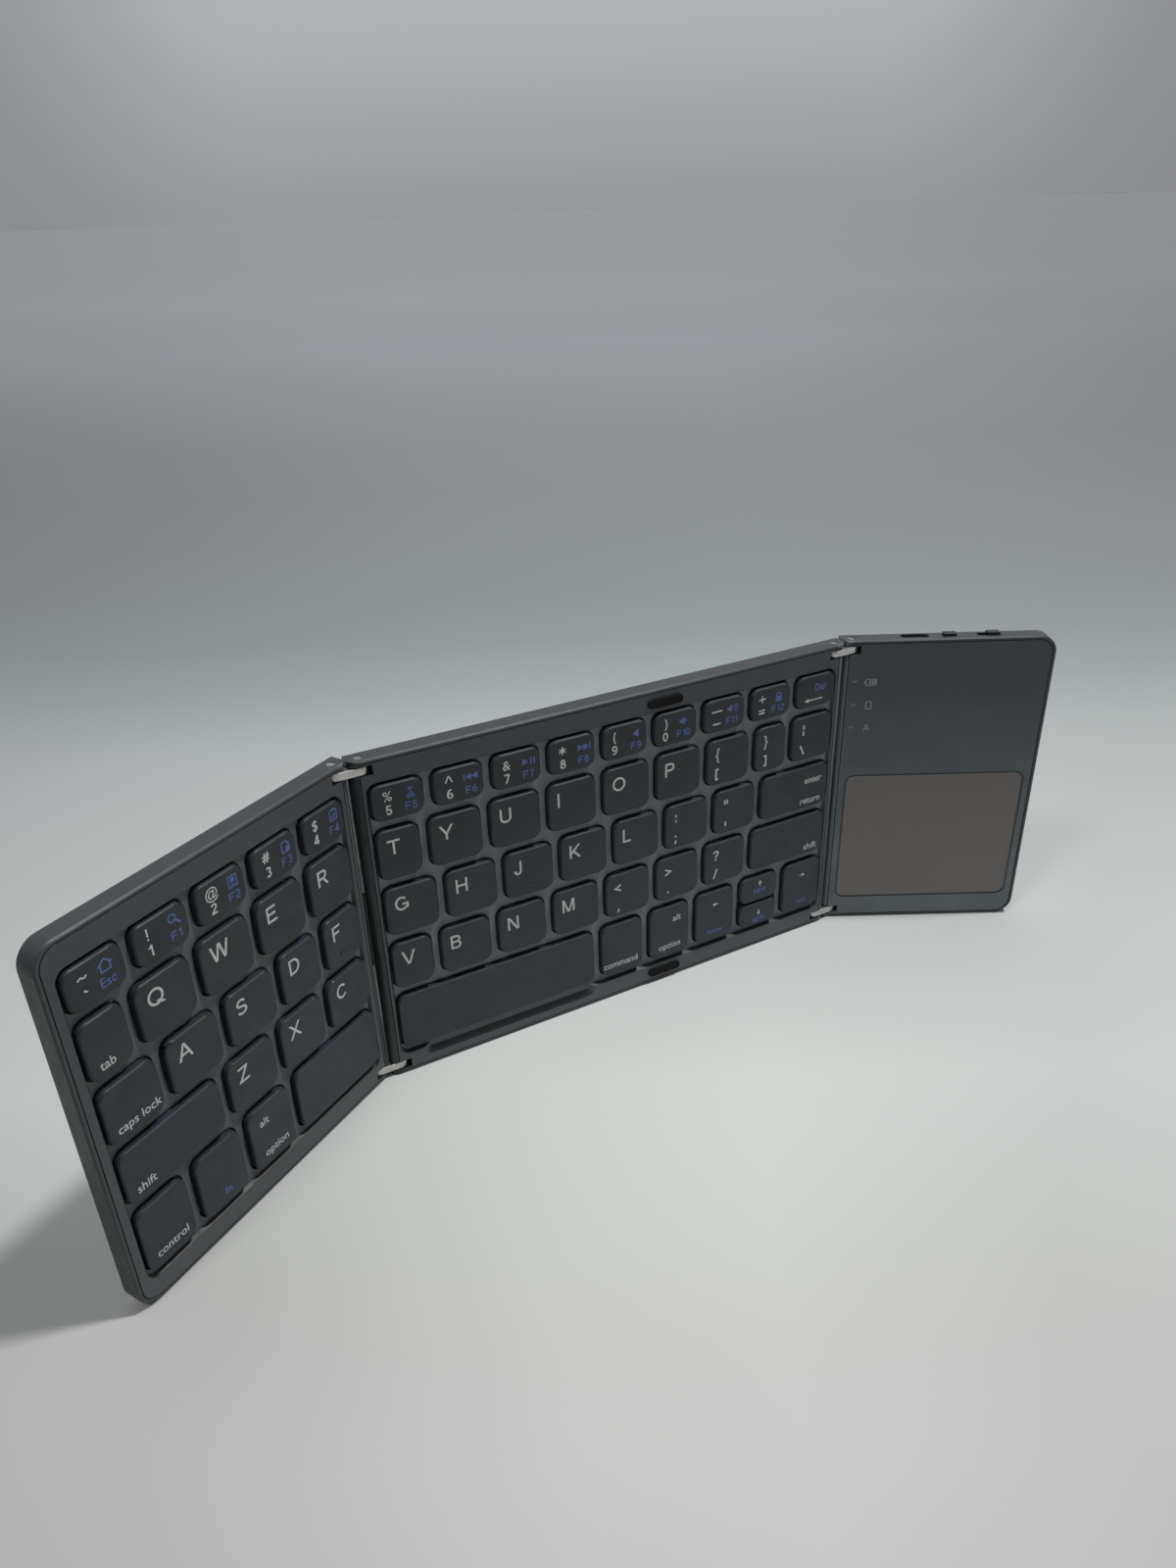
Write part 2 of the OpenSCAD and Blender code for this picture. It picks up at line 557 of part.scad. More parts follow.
module main_board() color([0.10, 0.32, 0.20]) at_right() {
  slab(board_d, floor_d - 0.05) difference() {
    round_rect(5, board_z, right_reach - 6.6, H - 8.5, 1);
    translate([switch_x0 - 4.4, H - 16]) square([right_reach, 12]);
  }
  // main chip, crystal and cable connector
  chip(22, board_z + 10, 8, 8, 1.25);
  chip(34, board_z + 11, 3, 6, 0.95);
  chip(6, board_z + 2, 3, 8, 1.25);
  for (z = light_z) chip(5.2, z - 0.8, 1.6, 1.6, 1.15);
}
module charging_socket() color(steel_c) at_right()
  translate([socket_x, knob_d, H - lip_w - 0.05 - socket_l]) difference() {
    socket_body(0, 1.4, 0);
    socket_body(socket_wall, 1.1, 0.8);
  }
module socket_body(wall, r, z) translate([0, 0, z]) linear_extrude(socket_l)
  round_rect(wall - socket_w / 2, wall - socket_t / 2, socket_w / 2 - wall, socket_t / 2 - wall, r);
module switch_body(x0, x1, top) block(x0, 1.5, switch_z, x1, floor_d - 0.3, top);
module power_switch_body() color([0.2, 0.2, 0.21]) at_right() difference() {
  switch_body(switch_x0 - 0.8, switch_x1 + 0.8, H - 2);
  block(switch_x0 + 0.6, knob_d - 0.6, H - 3.4, switch_x1 - 0.3, knob_d + 0.6, H);
}
// knob that stands out of the top edge, with a flange inside
module knob(flange_w, rise) {
  block(-knob_w / 2, -knob_t / 2, flange_z - 0.05, knob_w / 2, knob_t / 2, H + rise);
  block(-flange_w / 2, -flange_d / 2, flange_z - 0.6, flange_w / 2, flange_d / 2, flange_z);
}
module power_switch_knob() color([0.05, 0.05, 0.06]) at_right() translate([switch_rest, knob_d, 0]) {
  knob(4.4, 0.9);
  block(-0.9, -0.45, H - 3.1, 0.9, 0.45, flange_z - 0.5);
}
module pairing_switch_body() color([0.2, 0.2, 0.21]) at_right()
  switch_body(button_x - 2.5, button_x + 2.5, flange_z - 1.2);
module pairing_button() color([0.05, 0.05, 0.06]) at_right() translate([button_x, knob_d, 0])
  knob(4.8, 0.85);
module status_light_guides() color([0.85, 0.88, 0.85]) at_right() for (z = light_z) {
  block(light_x - 0.95, 0.05, z - 0.5, light_x + 0.95, 1.6, z + 0.5);
  block(light_x - 0.95, 1.5, z - 0.5, 6.3, 2.5, z + 0.5);
}

// ---------- desk feet ----------
foot_seat_t = 0.3;                        // depth of the seat of a foot
foot_edge = 10;                           // foot from the fold of the centre panel
foot_end = 6;                             // foot from the free end of a wing
foot_in = 7;                              // middle of a foot from the long edges
module both_sides() for (s = [0, 1]) mirror([s, 0, 0]) children();
module foot_pair(x, d0, d1, grow) for (z = [foot_in, H - foot_in])
  slab(d0, d1) pill(x, z, foot_l + grow, foot_w + grow);
module foot_seat(x) foot_pair(x, T - foot_seat_t, T + 1, 0.1);
module feet(x) foot_pair(x, T - foot_seat_t, T + foot_rise, 0);
module wing_foot_seats(reach) foot_seat(foot_l / 2 + foot_end - reach);
module wing_feet(reach) feet(foot_l / 2 + foot_end - reach);
centre_foot_x = pin_span / 2 - foot_edge - foot_l / 2;
module centre_desk_feet() color([0.08, 0.08, 0.09]) at_centre() both_sides() feet(centre_foot_x);
module left_desk_feet() color([0.08, 0.08, 0.09]) at_left() wing_feet(left_reach);
module right_desk_feet() color([0.08, 0.08, 0.09]) at_right() mirror([1, 0, 0]) wing_feet(right_reach);

centre_back_shell();
centre_front_plate();
centre_key_support_plate();
centre_switch_membrane();
centre_rubber_domes();
centre_scissor_frames();
fold_bumpers();
centre_hinge_pins();
left_back_shell();
left_front_plate();
left_key_support_plate();
left_switch_membrane();
left_rubber_domes();
left_scissor_frames();
left_hinge_pins();
right_back_shell();
right_front_plate();
touchpad_surface();
touchpad_sensor_board();
main_board();
battery();
charging_socket();
power_switch_body();
pairing_switch_body();
status_light_guides();
right_hinge_pins();
power_switch_knob();
pairing_button();
left_hinge_links();
left_cable_guard();
right_hinge_links();
right_cable_guard();
left_number_keys();
left_upper_letter_keys();
left_home_letter_keys();
left_lower_letter_keys();
tab_key();
caps_lock_key();
left_shift_key();
control_key();
function_key();
left_option_key();
left_space_key();
centre_number_keys();
backspace_key();
centre_upper_letter_keys();
centre_home_letter_keys();
enter_key();
centre_lower_letter_keys();
right_shift_key();
right_space_key();
command_key();
right_option_key();
left_arrow_key();
up_arrow_key();
down_arrow_key();
right_arrow_key();
centre_desk_feet();
left_desk_feet();
right_desk_feet();
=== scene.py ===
import json
import math

import bmesh
import bpy
from mathutils import Matrix, Vector

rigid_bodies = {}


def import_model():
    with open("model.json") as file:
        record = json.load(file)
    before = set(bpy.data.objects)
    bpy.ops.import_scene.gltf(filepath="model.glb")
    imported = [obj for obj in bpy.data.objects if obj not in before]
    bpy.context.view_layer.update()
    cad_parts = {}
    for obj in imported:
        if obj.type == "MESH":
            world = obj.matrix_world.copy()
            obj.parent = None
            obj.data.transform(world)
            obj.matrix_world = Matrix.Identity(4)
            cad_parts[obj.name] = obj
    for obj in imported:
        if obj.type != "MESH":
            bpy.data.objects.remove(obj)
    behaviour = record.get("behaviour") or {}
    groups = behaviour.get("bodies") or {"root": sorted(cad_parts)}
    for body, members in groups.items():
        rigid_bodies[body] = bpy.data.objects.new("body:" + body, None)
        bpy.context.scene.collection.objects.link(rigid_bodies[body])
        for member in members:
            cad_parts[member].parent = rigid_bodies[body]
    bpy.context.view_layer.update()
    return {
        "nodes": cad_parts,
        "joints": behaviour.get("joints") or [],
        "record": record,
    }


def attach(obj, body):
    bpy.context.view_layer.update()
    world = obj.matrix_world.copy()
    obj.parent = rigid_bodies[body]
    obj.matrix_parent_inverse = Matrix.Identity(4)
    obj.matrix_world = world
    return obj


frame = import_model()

MM = 0.001
RECORD = frame["record"]
NODES = frame["nodes"]
SLOT_OF = {row["node"]: row["material_slot"] for row in RECORD["subparts"]}
BODY_OF = {node: body for body, members in RECORD["behaviour"]["bodies"].items()
           for node in members}
JOINT = {joint["name"]: joint for joint in frame["joints"]}


# ---------- panels: X along the panel, Y its depth from the key side, Z up ----------
def wing_matrix(joint, side):
    """Frame of a wing: turned about its hinge pins by the angle that opens it flat."""
    pin = Vector(JOINT[joint]["pos_m"])
    turn = math.radians(-JOINT[joint]["range_deg"][0]) * side
    return Matrix.Translation((pin.x, pin.y, 0)) @ Matrix.Rotation(turn, 4, "Z")


CENTRE = Matrix.Identity(4)
LEFT = wing_matrix("left_wing_fold", 1)
RIGHT = wing_matrix("right_wing_fold", -1)


def ahead_of(panel):
    """Direction in which the keys of a panel face."""
    return panel.to_3x3() @ Vector((0, -1, 0))


# ---------- materials ----------
FLOOR_LIGHT_HEIGHT = 85 * MM   # height up to which the panels are painted paler with floor light


def srgb(r, g, b):
    """Linear colour of an sRGB one given as 0 to 255."""
    shares = (r / 255, g / 255, b / 255)
    return (*[c / 12.92 if c <= 0.04045 else ((c + 0.055) / 1.055) ** 2.4 for c in shares], 1.0)


class Nodes:
    """Adds nodes to one tree. What they take is a value or another node's output, what comes back
    is an output."""

    def __init__(self, tree):
        self.tree = tree

    def feed(self, value, socket):
        if isinstance(value, bpy.types.NodeSocket):
            self.tree.links.new(value, socket)
        else:
            socket.default_value = value

    def node(self, kind, **inputs):
        """Node itself, with its inputs given by name."""
        made = self.tree.nodes.new(kind)
        for name, value in inputs.items():
            self.feed(value, made.inputs[name.replace("_", " ")])
        return made

    def ramp(self, value, low, high, out_low=0.0, out_high=1.0, smooth=False):
        """Value brought from low...high to out_low...out_high and held there beyond."""
        made = self.node("ShaderNodeMapRange", Value=value, From_Min=low, From_Max=high,
                         To_Min=out_low, To_Max=out_high)
        if smooth:
            made.interpolation_type = "SMOOTHSTEP"
        return made.outputs["Result"]

    def operate(self, kind, operation, *values):
        """Node itself, set to one operation on the values."""
        made = self.tree.nodes.new(kind)
        made.operation = operation
        for value, socket in zip(values, made.inputs):
            self.feed(value, socket)
        return made

    def maths(self, operation, *values):
        return self.operate("ShaderNodeMath", operation, *values).outputs[0]

    def dot(self, one, other):
        return self.operate("ShaderNodeVectorMath", "DOT_PRODUCT", one, other).outputs["Value"]

    def height(self, vector):
        return self.node("ShaderNodeSeparateXYZ", Vector=vector).outputs["Z"]

    def mix(self, share, none, full):
        """Colour from none to full, by share."""
        made = self.tree.nodes.new("ShaderNodeMix")
        made.data_type = "RGBA"
        for value, place in ((share, 0), (none, 6), (full, 7)):
            self.feed(value, made.inputs[place])
        return made.outputs[2]


class Shader(Nodes):
    """A Principled material with the few node groups that the finishes here are made of."""

    def __init__(self, name, colour, roughness, metallic=0.0, specular=0.5):
        self.material = bpy.data.materials.new(name)
        self.material.use_nodes = True
        super().__init__(self.material.node_tree)
        self.bsdf = self.tree.nodes["Principled BSDF"]
        for socket, value in (("Base Color", colour), ("Roughness", roughness),
                              ("Metallic", metallic), ("Specular IOR Level", specular)):
            self.bsdf.inputs[socket].default_value = value
        surface = self.node("ShaderNodeTexCoord").outputs
        self.where, self.normal = surface["Object"], surface["Normal"]
        self.colour = colour

    def noise(self, size_mm, detail=3.0, stretch=(1, 1, 1)):
        """Noise whose blobs are about size_mm wide, times stretch along each axis."""
        scale = tuple(1 / (s * size_mm * MM) for s in stretch)
        place = self.node("ShaderNodeMapping", Vector=self.where, Scale=scale).outputs[0]
        made = self.node("ShaderNodeTexNoise", Vector=place, Scale=1.0, Detail=detail)
        return made.outputs["Fac"]

    def tint(self, mask, colour):
        """Mixes colour in by mask."""
        self.colour = self.mix(mask, self.colour, colour)
        self.feed(self.colour, self.bsdf.inputs["Base Color"])

    def mottle(self, size_mm, colour, share):
        """Slow, soft change of colour over the surface."""
        self.tint(self.ramp(self.noise(size_mm), 0.35, 0.65, 0.0, share), colour)

    def lift(self, colour):
        """Painted floor light: paler towards the long front edge of the panels, which stands on the
        floor.
        """
        self.tint(self.ramp(self.height(self.where), 0.0, FLOOR_LIGHT_HEIGHT, 1.0, 0.0), colour)

    def rough(self, size_mm, low, high, stretch=(1, 1, 1)):
        """Roughness that wanders between low and high."""
        wander = self.ramp(self.noise(size_mm, 5.0, stretch), 0.3, 0.7, low, high)
        self.feed(wander, self.bsdf.inputs["Roughness"])

    def bump(self, size_mm, depth_mm, stretch=(1, 1, 1)):
        """Fine grain of the surface."""
        grain = self.noise(size_mm, 2.0, stretch)
        made = self.node("ShaderNodeBump", Height=grain, Distance=depth_mm * MM, Strength=1.0)
        self.feed(made.outputs[0], self.bsdf.inputs["Normal"])

    def worn_edges(self, radius_mm, colour, share):
        """Edges rubbed lighter in patches: where the rounded normal leaves the true one."""
        soft = self.node("ShaderNodeBevel", Radius=radius_mm * MM)
        soft.samples = 4
        true = self.node("ShaderNodeNewGeometry").outputs["Normal"]
        edge = self.ramp(self.dot(soft.outputs[0], true), 0.99, 0.85, 0.0, share)
        patches = self.ramp(self.noise(3.0), 0.35, 0.6, 0.2, 1.0)
        self.tint(self.maths("MULTIPLY", edge, patches), colour)


def shell_finish(name, panel, ends):
    """Satin dark grey of the back shells, with edges that catch the light; on the key side each
    rounded end at the folds gets its own painted tone, pale where lit and dark where shaded."""
    s = Shader(name, srgb(51, 54, 57), 0.42)
    s.mottle(18, srgb(55, 58, 61), 0.6)
    along = panel.to_3x3() @ Vector((1, 0, 0))
    origin = panel.translation.dot(along)
    # painted light and shade on the key side of the fold ends
    for start, full, tone in ends:
        forward = s.ramp(s.dot(s.normal, ahead_of(panel)), 0.1, 0.5)
        band = s.ramp(s.dot(s.where, along), origin + start * MM, origin + full * MM)
        s.tint(s.maths("MULTIPLY", forward, band), tone)
    s.worn_edges(0.25, srgb(120, 124, 127), 0.45)
    s.rough(2.5, 0.36, 0.5)
    s.bump(0.22, 0.004)
    return s.material


def front_finish(name, base, low, web_painted_light=None, facing=None, level=0.0):
    """Satin grey of the front plates, painted paler towards the floor edge as floor light. Where
    there are keys, the recess around them, 1 mm below level, gets the painted light
    web_painted_light, except at the lowest row, and faces that look up get painted shade."""
    s = Shader(name, base, 0.46)
    # painted floor light: paler towards the edge that stands on the floor
    s.lift(low)
    s.mottle(24, srgb(62, 66, 69), 0.4)
    if web_painted_light is not None:
        # painted light: the recess among the keys made lighter where the keys shade it, less so at
        # the lowest row
        deep = s.ramp(s.dot(s.where, facing), level - 0.95 * MM, level - 0.8 * MM, 1.0, 0.0)
        among_keys = s.ramp(s.height(s.where), 7.5 * MM, 10.5 * MM, 0.1, 1.0)
        s.tint(s.maths("MULTIPLY", deep, among_keys), web_painted_light)
        # painted shade: faces that look up, which would catch the lamps, made dark
        s.tint(s.ramp(s.height(s.normal), 0.15, 0.5), srgb(22, 24, 26))
    s.worn_edges(0.2, srgb(100, 104, 107), 0.25)
    s.rough(3.0, 0.4, 0.54)
    s.bump(0.2, 0.004)
    return s.material


def key_finish(panel):
    """Near-black keys with painted light: paler towards the edge that stands on the floor, and a
    little bluer and lighter on the sides.
    """
    s = Shader("key_plastic", srgb(21, 27, 33), 0.5)
    # painted floor light: paler towards the edge that stands on the floor
    s.lift(srgb(38, 45, 52))
    s.mottle(9, srgb(30, 36, 42), 0.4)
    # painted light: the key sides, which get little light, made lighter and bluer
    s.tint(s.ramp(s.dot(s.normal, ahead_of(panel)), 0.75, 0.45), srgb(44, 50, 60))
    s.rough(5.0, 0.4, 0.56)
    s.bump(0.12, 0.003)
    return s.material


def touch_finish():
    """Warm grey film, painted paler towards the floor edge, with a painted highlight on its edge
    faces that look up.
    """
    s = Shader("touch_film", srgb(105, 101, 98), 0.48, specular=0.4)
    # painted floor light: paler towards the edge that stands on the floor
    s.lift(srgb(120, 116, 113))
    s.mottle(30, srgb(114, 110, 106), 0.4)
    # painted highlight on the edge faces that look up
    s.tint(s.ramp(s.height(s.normal), 0.2, 0.7), srgb(178, 180, 180))
    s.rough(8.0, 0.42, 0.55)
    s.bump(0.15, 0.002)
    return s.material


def steel_finish(name, colour, low, high):
    """Brushed metal with its grain along X."""
    s = Shader(name, colour, low, metallic=1.0)
    s.mottle(4, srgb(150, 150, 146), 0.35)
    s.rough(0.5, low, high, stretch=(12, 1, 1))
    s.bump(0.1, 0.002, stretch=(30, 1, 1))
    return s.material


def moulded(name, colour, second, low, high, grain_mm=0.2, depth_mm=0.003, specular=0.5):
    """Moulded or coated piece of two close colours, its roughness between low and high."""
    s = Shader(name, colour, low, specular=specular)
    s.mottle(5, second, 0.6)
    s.rough(1.5, low, high)
    s.bump(grain_mm, depth_mm)
    return s.material


def paint(name, colour, second):
    """Printed legend: flat paint, a little uneven."""
    s = Shader(name, colour, 0.55)
    s.mottle(0.8, second, 0.5)
    s.rough(0.6, 0.45, 0.65)
    return s.material


MATERIALS = {
    # the second colour of the front is painted floor light at the edge that stands on the floor
    "front": front_finish("satin_front", srgb(62, 69, 73), srgb(111, 119, 124)),
    "key": key_finish(CENTRE),
    "touch_surface": touch_finish(),
    "hinge_steel": steel_finish("hinge_steel", srgb(205, 206, 202), 0.3, 0.5),
    "socket_steel": steel_finish("socket_steel", srgb(190, 190, 188), 0.25, 0.4),
    "support_steel": steel_finish("support_steel", srgb(150, 151, 150), 0.35, 0.55),
    "bumper_rubber": moulded("black_rubber", srgb(11, 11, 12), srgb(17, 17, 18), 0.7, 0.9,
                             grain_mm=0.4, depth_mm=0.03, specular=0.2),
    "guard": moulded("guard_film", srgb(18, 18, 20), srgb(24, 24, 26), 0.5, 0.7),
    "membrane": moulded("printed_film", srgb(196, 204, 192), srgb(170, 180, 168), 0.3, 0.5),
    "dome_rubber": moulded("silicone", srgb(214, 212, 206), srgb(196, 194, 188), 0.5, 0.7),
    "scissor_plastic": moulded("white_nylon", srgb(218, 217, 212), srgb(202, 201, 196), 0.4, 0.6),
    "circuit_board": moulded("solder_mask", srgb(24, 84, 48), srgb(30, 98, 58), 0.3, 0.45,
                             grain_mm=0.5, depth_mm=0.01),
    "battery_wrap": steel_finish("foil_pouch", srgb(190, 191, 193), 0.3, 0.5),
    "switch_plastic": moulded("switch_plastic", srgb(34, 34, 36), srgb(44, 44, 46), 0.45, 0.6),
    "knob": moulded("knob_plastic", srgb(16, 17, 20), srgb(24, 25, 28), 0.3, 0.45),
    "light_guide": moulded("light_guide", srgb(92, 98, 108), srgb(110, 116, 124), 0.2, 0.3),
}
WHITE = paint("legend_white", srgb(196, 198, 197), srgb(176, 178, 178))
BLUE = paint("legend_blue", srgb(84, 100, 160), srgb(74, 88, 142))
GREY = paint("legend_grey", srgb(150, 154, 157), srgb(132, 136, 140))


# ---------- marks: drawn flat in X and Y, in millimetres, with the thickness of ink ----------
INK = 0.03        # thickness of the print
SUNK = 0.01       # how far it sits in what it is printed on
LETTER = 4.2      # capital height of the letters
SIGN = 2.6        # capital height of the digits and the signs above them
PAIR = 3.3        # capital height of the signs on keys that carry two
BLUE_CAP = 2.15   # capital height of the blue labels
WORD = 2.15       # capital height of the words
SMALL_WORD = 1.75  # capital height of the words under the arrows
STROKE = 0.32     # line width of the icons


def solid_of(data, lift=0.0):
    """Mesh of a flat curve or text given the thickness of ink, sunk a little and lifted by lift."""
    data.dimensions = "2D"
    data.fill_mode = "BOTH"
    data.resolution_u = 3
    data.extrude = (INK + lift) / 2
    holder = bpy.data.objects.new("holder", data)
    mesh = bpy.data.meshes.new_from_object(holder)
    mesh.transform(Matrix.Translation((0, 0, (INK + lift) / 2 - SUNK)))
    bpy.data.objects.remove(holder)
    bpy.data.curves.remove(data)
    return mesh


def cap_size():
    """Height of a capital in text of size 1."""
    data = bpy.data.curves.new("sample", "FONT")
    data.body = "H"
    mesh = solid_of(data)
    height = max(v.co.y for v in mesh.vertices)
    bpy.data.meshes.remove(mesh)
    return height


CAP = cap_size()
NARROW = 0.94     # width of the lettering against the font's own
# how much wider the strokes of the font are made, on words and on signs
WORD_WEIGHT, SIGN_WEIGHT = 0.02, 0.012


def words(body, cap_mm, align="CENTER", weight=WORD_WEIGHT):
    """Text in the font's own letters, its strokes made wider by weight."""
    data = bpy.data.curves.new("words", "FONT")
    data.body = body
    data.size = cap_mm / CAP
    data.align_x = align
    data.offset = weight
    mesh = solid_of(data)
    mesh.transform(Matrix.Diagonal((NARROW, 1, 1, 1)))
    return [mesh]


def shape(*outlines, lift=0.0):
    """Filled figure of closed outlines; one inside another is a hole."""
    data = bpy.data.curves.new("shape", "CURVE")
    for points in outlines:
        line = data.splines.new("POLY")
        line.points.add(len(points) - 1)
        for at, (x, y) in zip(line.points, points):
            at.co = (x, y, 0, 1)
        line.use_cyclic_u = True
    return [solid_of(data, lift)]


def box(x, y, w, h):
    west, east, south, north = x - w / 2, x + w / 2, y - h / 2, y + h / 2
    return [(west, south), (east, south), (east, north), (west, north)]


def arc(x, y, r, start=0, end=360, steps=20, tall=None):
    """Points of an arc, or of an oval where it is tall; a full turn leaves out the last point."""
    span = steps if abs(end - start) < 360 else steps - 1
    angles = [math.radians(start + (end - start) * k / steps) for k in range(span + 1)]
    return [(x + r * math.cos(a), y + (tall or r) * math.sin(a)) for a in angles]


def ribbon(points, width=STROKE, closed=False, lift=0.0):
    """Line of one width through the points, mitred at its corners. A steep straight line ends
    level."""
    line = [Vector(p) for p in points]
    count = len(line)
    work = bmesh.new()
    rows = []
    for k, here in enumerate(line):
        before = line[k - 1] if k or closed else None
        after = line[(k + 1) % count] if k < count - 1 or closed else None
        both = ((before, here), (here, after))
        steps = [(b - a).normalized() for a, b in both if a is not None and b is not None]
        along = sum(steps, Vector((0, 0))).normalized()
        side = Vector((-along.y, along.x))
        reach = width / 2 / max(0.5, side.dot(Vector((-steps[0].y, steps[0].x))))
        if count == 2 and abs(along.y) > 0.5:
            side, reach = Vector((-math.copysign(1, along.y), 0)), width / 2 / abs(along.y)
        ends = (here + side * reach, here - side * reach)
        heights = (INK - SUNK + lift, -SUNK)
        rows.append([work.verts.new((q.x, q.y, z)) for q in ends for z in heights])
    pairs = list(zip(rows, rows[1:])) + ([(rows[-1], rows[0])] if closed else [])
    for (a, b, c, d), (e, f, g, h) in pairs:
        for face in ((a, c, g, e), (b, f, h, d), (a, e, f, b), (c, d, h, g)):
            work.faces.new(face)
    if not closed:
        a, b, c, d = rows[0]
        e, f, g, h = rows[-1]
        work.faces.new((a, b, d, c))
        work.faces.new((e, g, h, f))
    bmesh.ops.recalc_face_normals(work, faces=work.faces)
    mesh = bpy.data.meshes.new("ribbon")
    work.to_mesh(mesh)
    work.free()
    return mesh


def bar(x0, y0, x1, y1, width=STROKE):
    return [ribbon([(x0, y0), (x1, y1)], width, lift=0.004)]


# Letters, digits and signs as lines through points, in parts of the capital height
PEN = 0.135       # width of the lines
LOW, HIGH, MID = PEN / 2, 1 - PEN / 2, 0.52   # middles of the lowest, highest and middle line


def stem(x):
    return [(x, 0), (x, 1)]


def bowl(x, middle, wide, tall):
    """Half ring that opens to the stem of a letter."""
    return [(LOW, middle + tall), *arc(x, middle, wide, 90, -90, 9, tall), (LOW, middle - tall)]


def oval(x, y, wide, tall):
    """Closed line."""
    return ("closed", *arc(x, y, wide, steps=22, tall=tall))


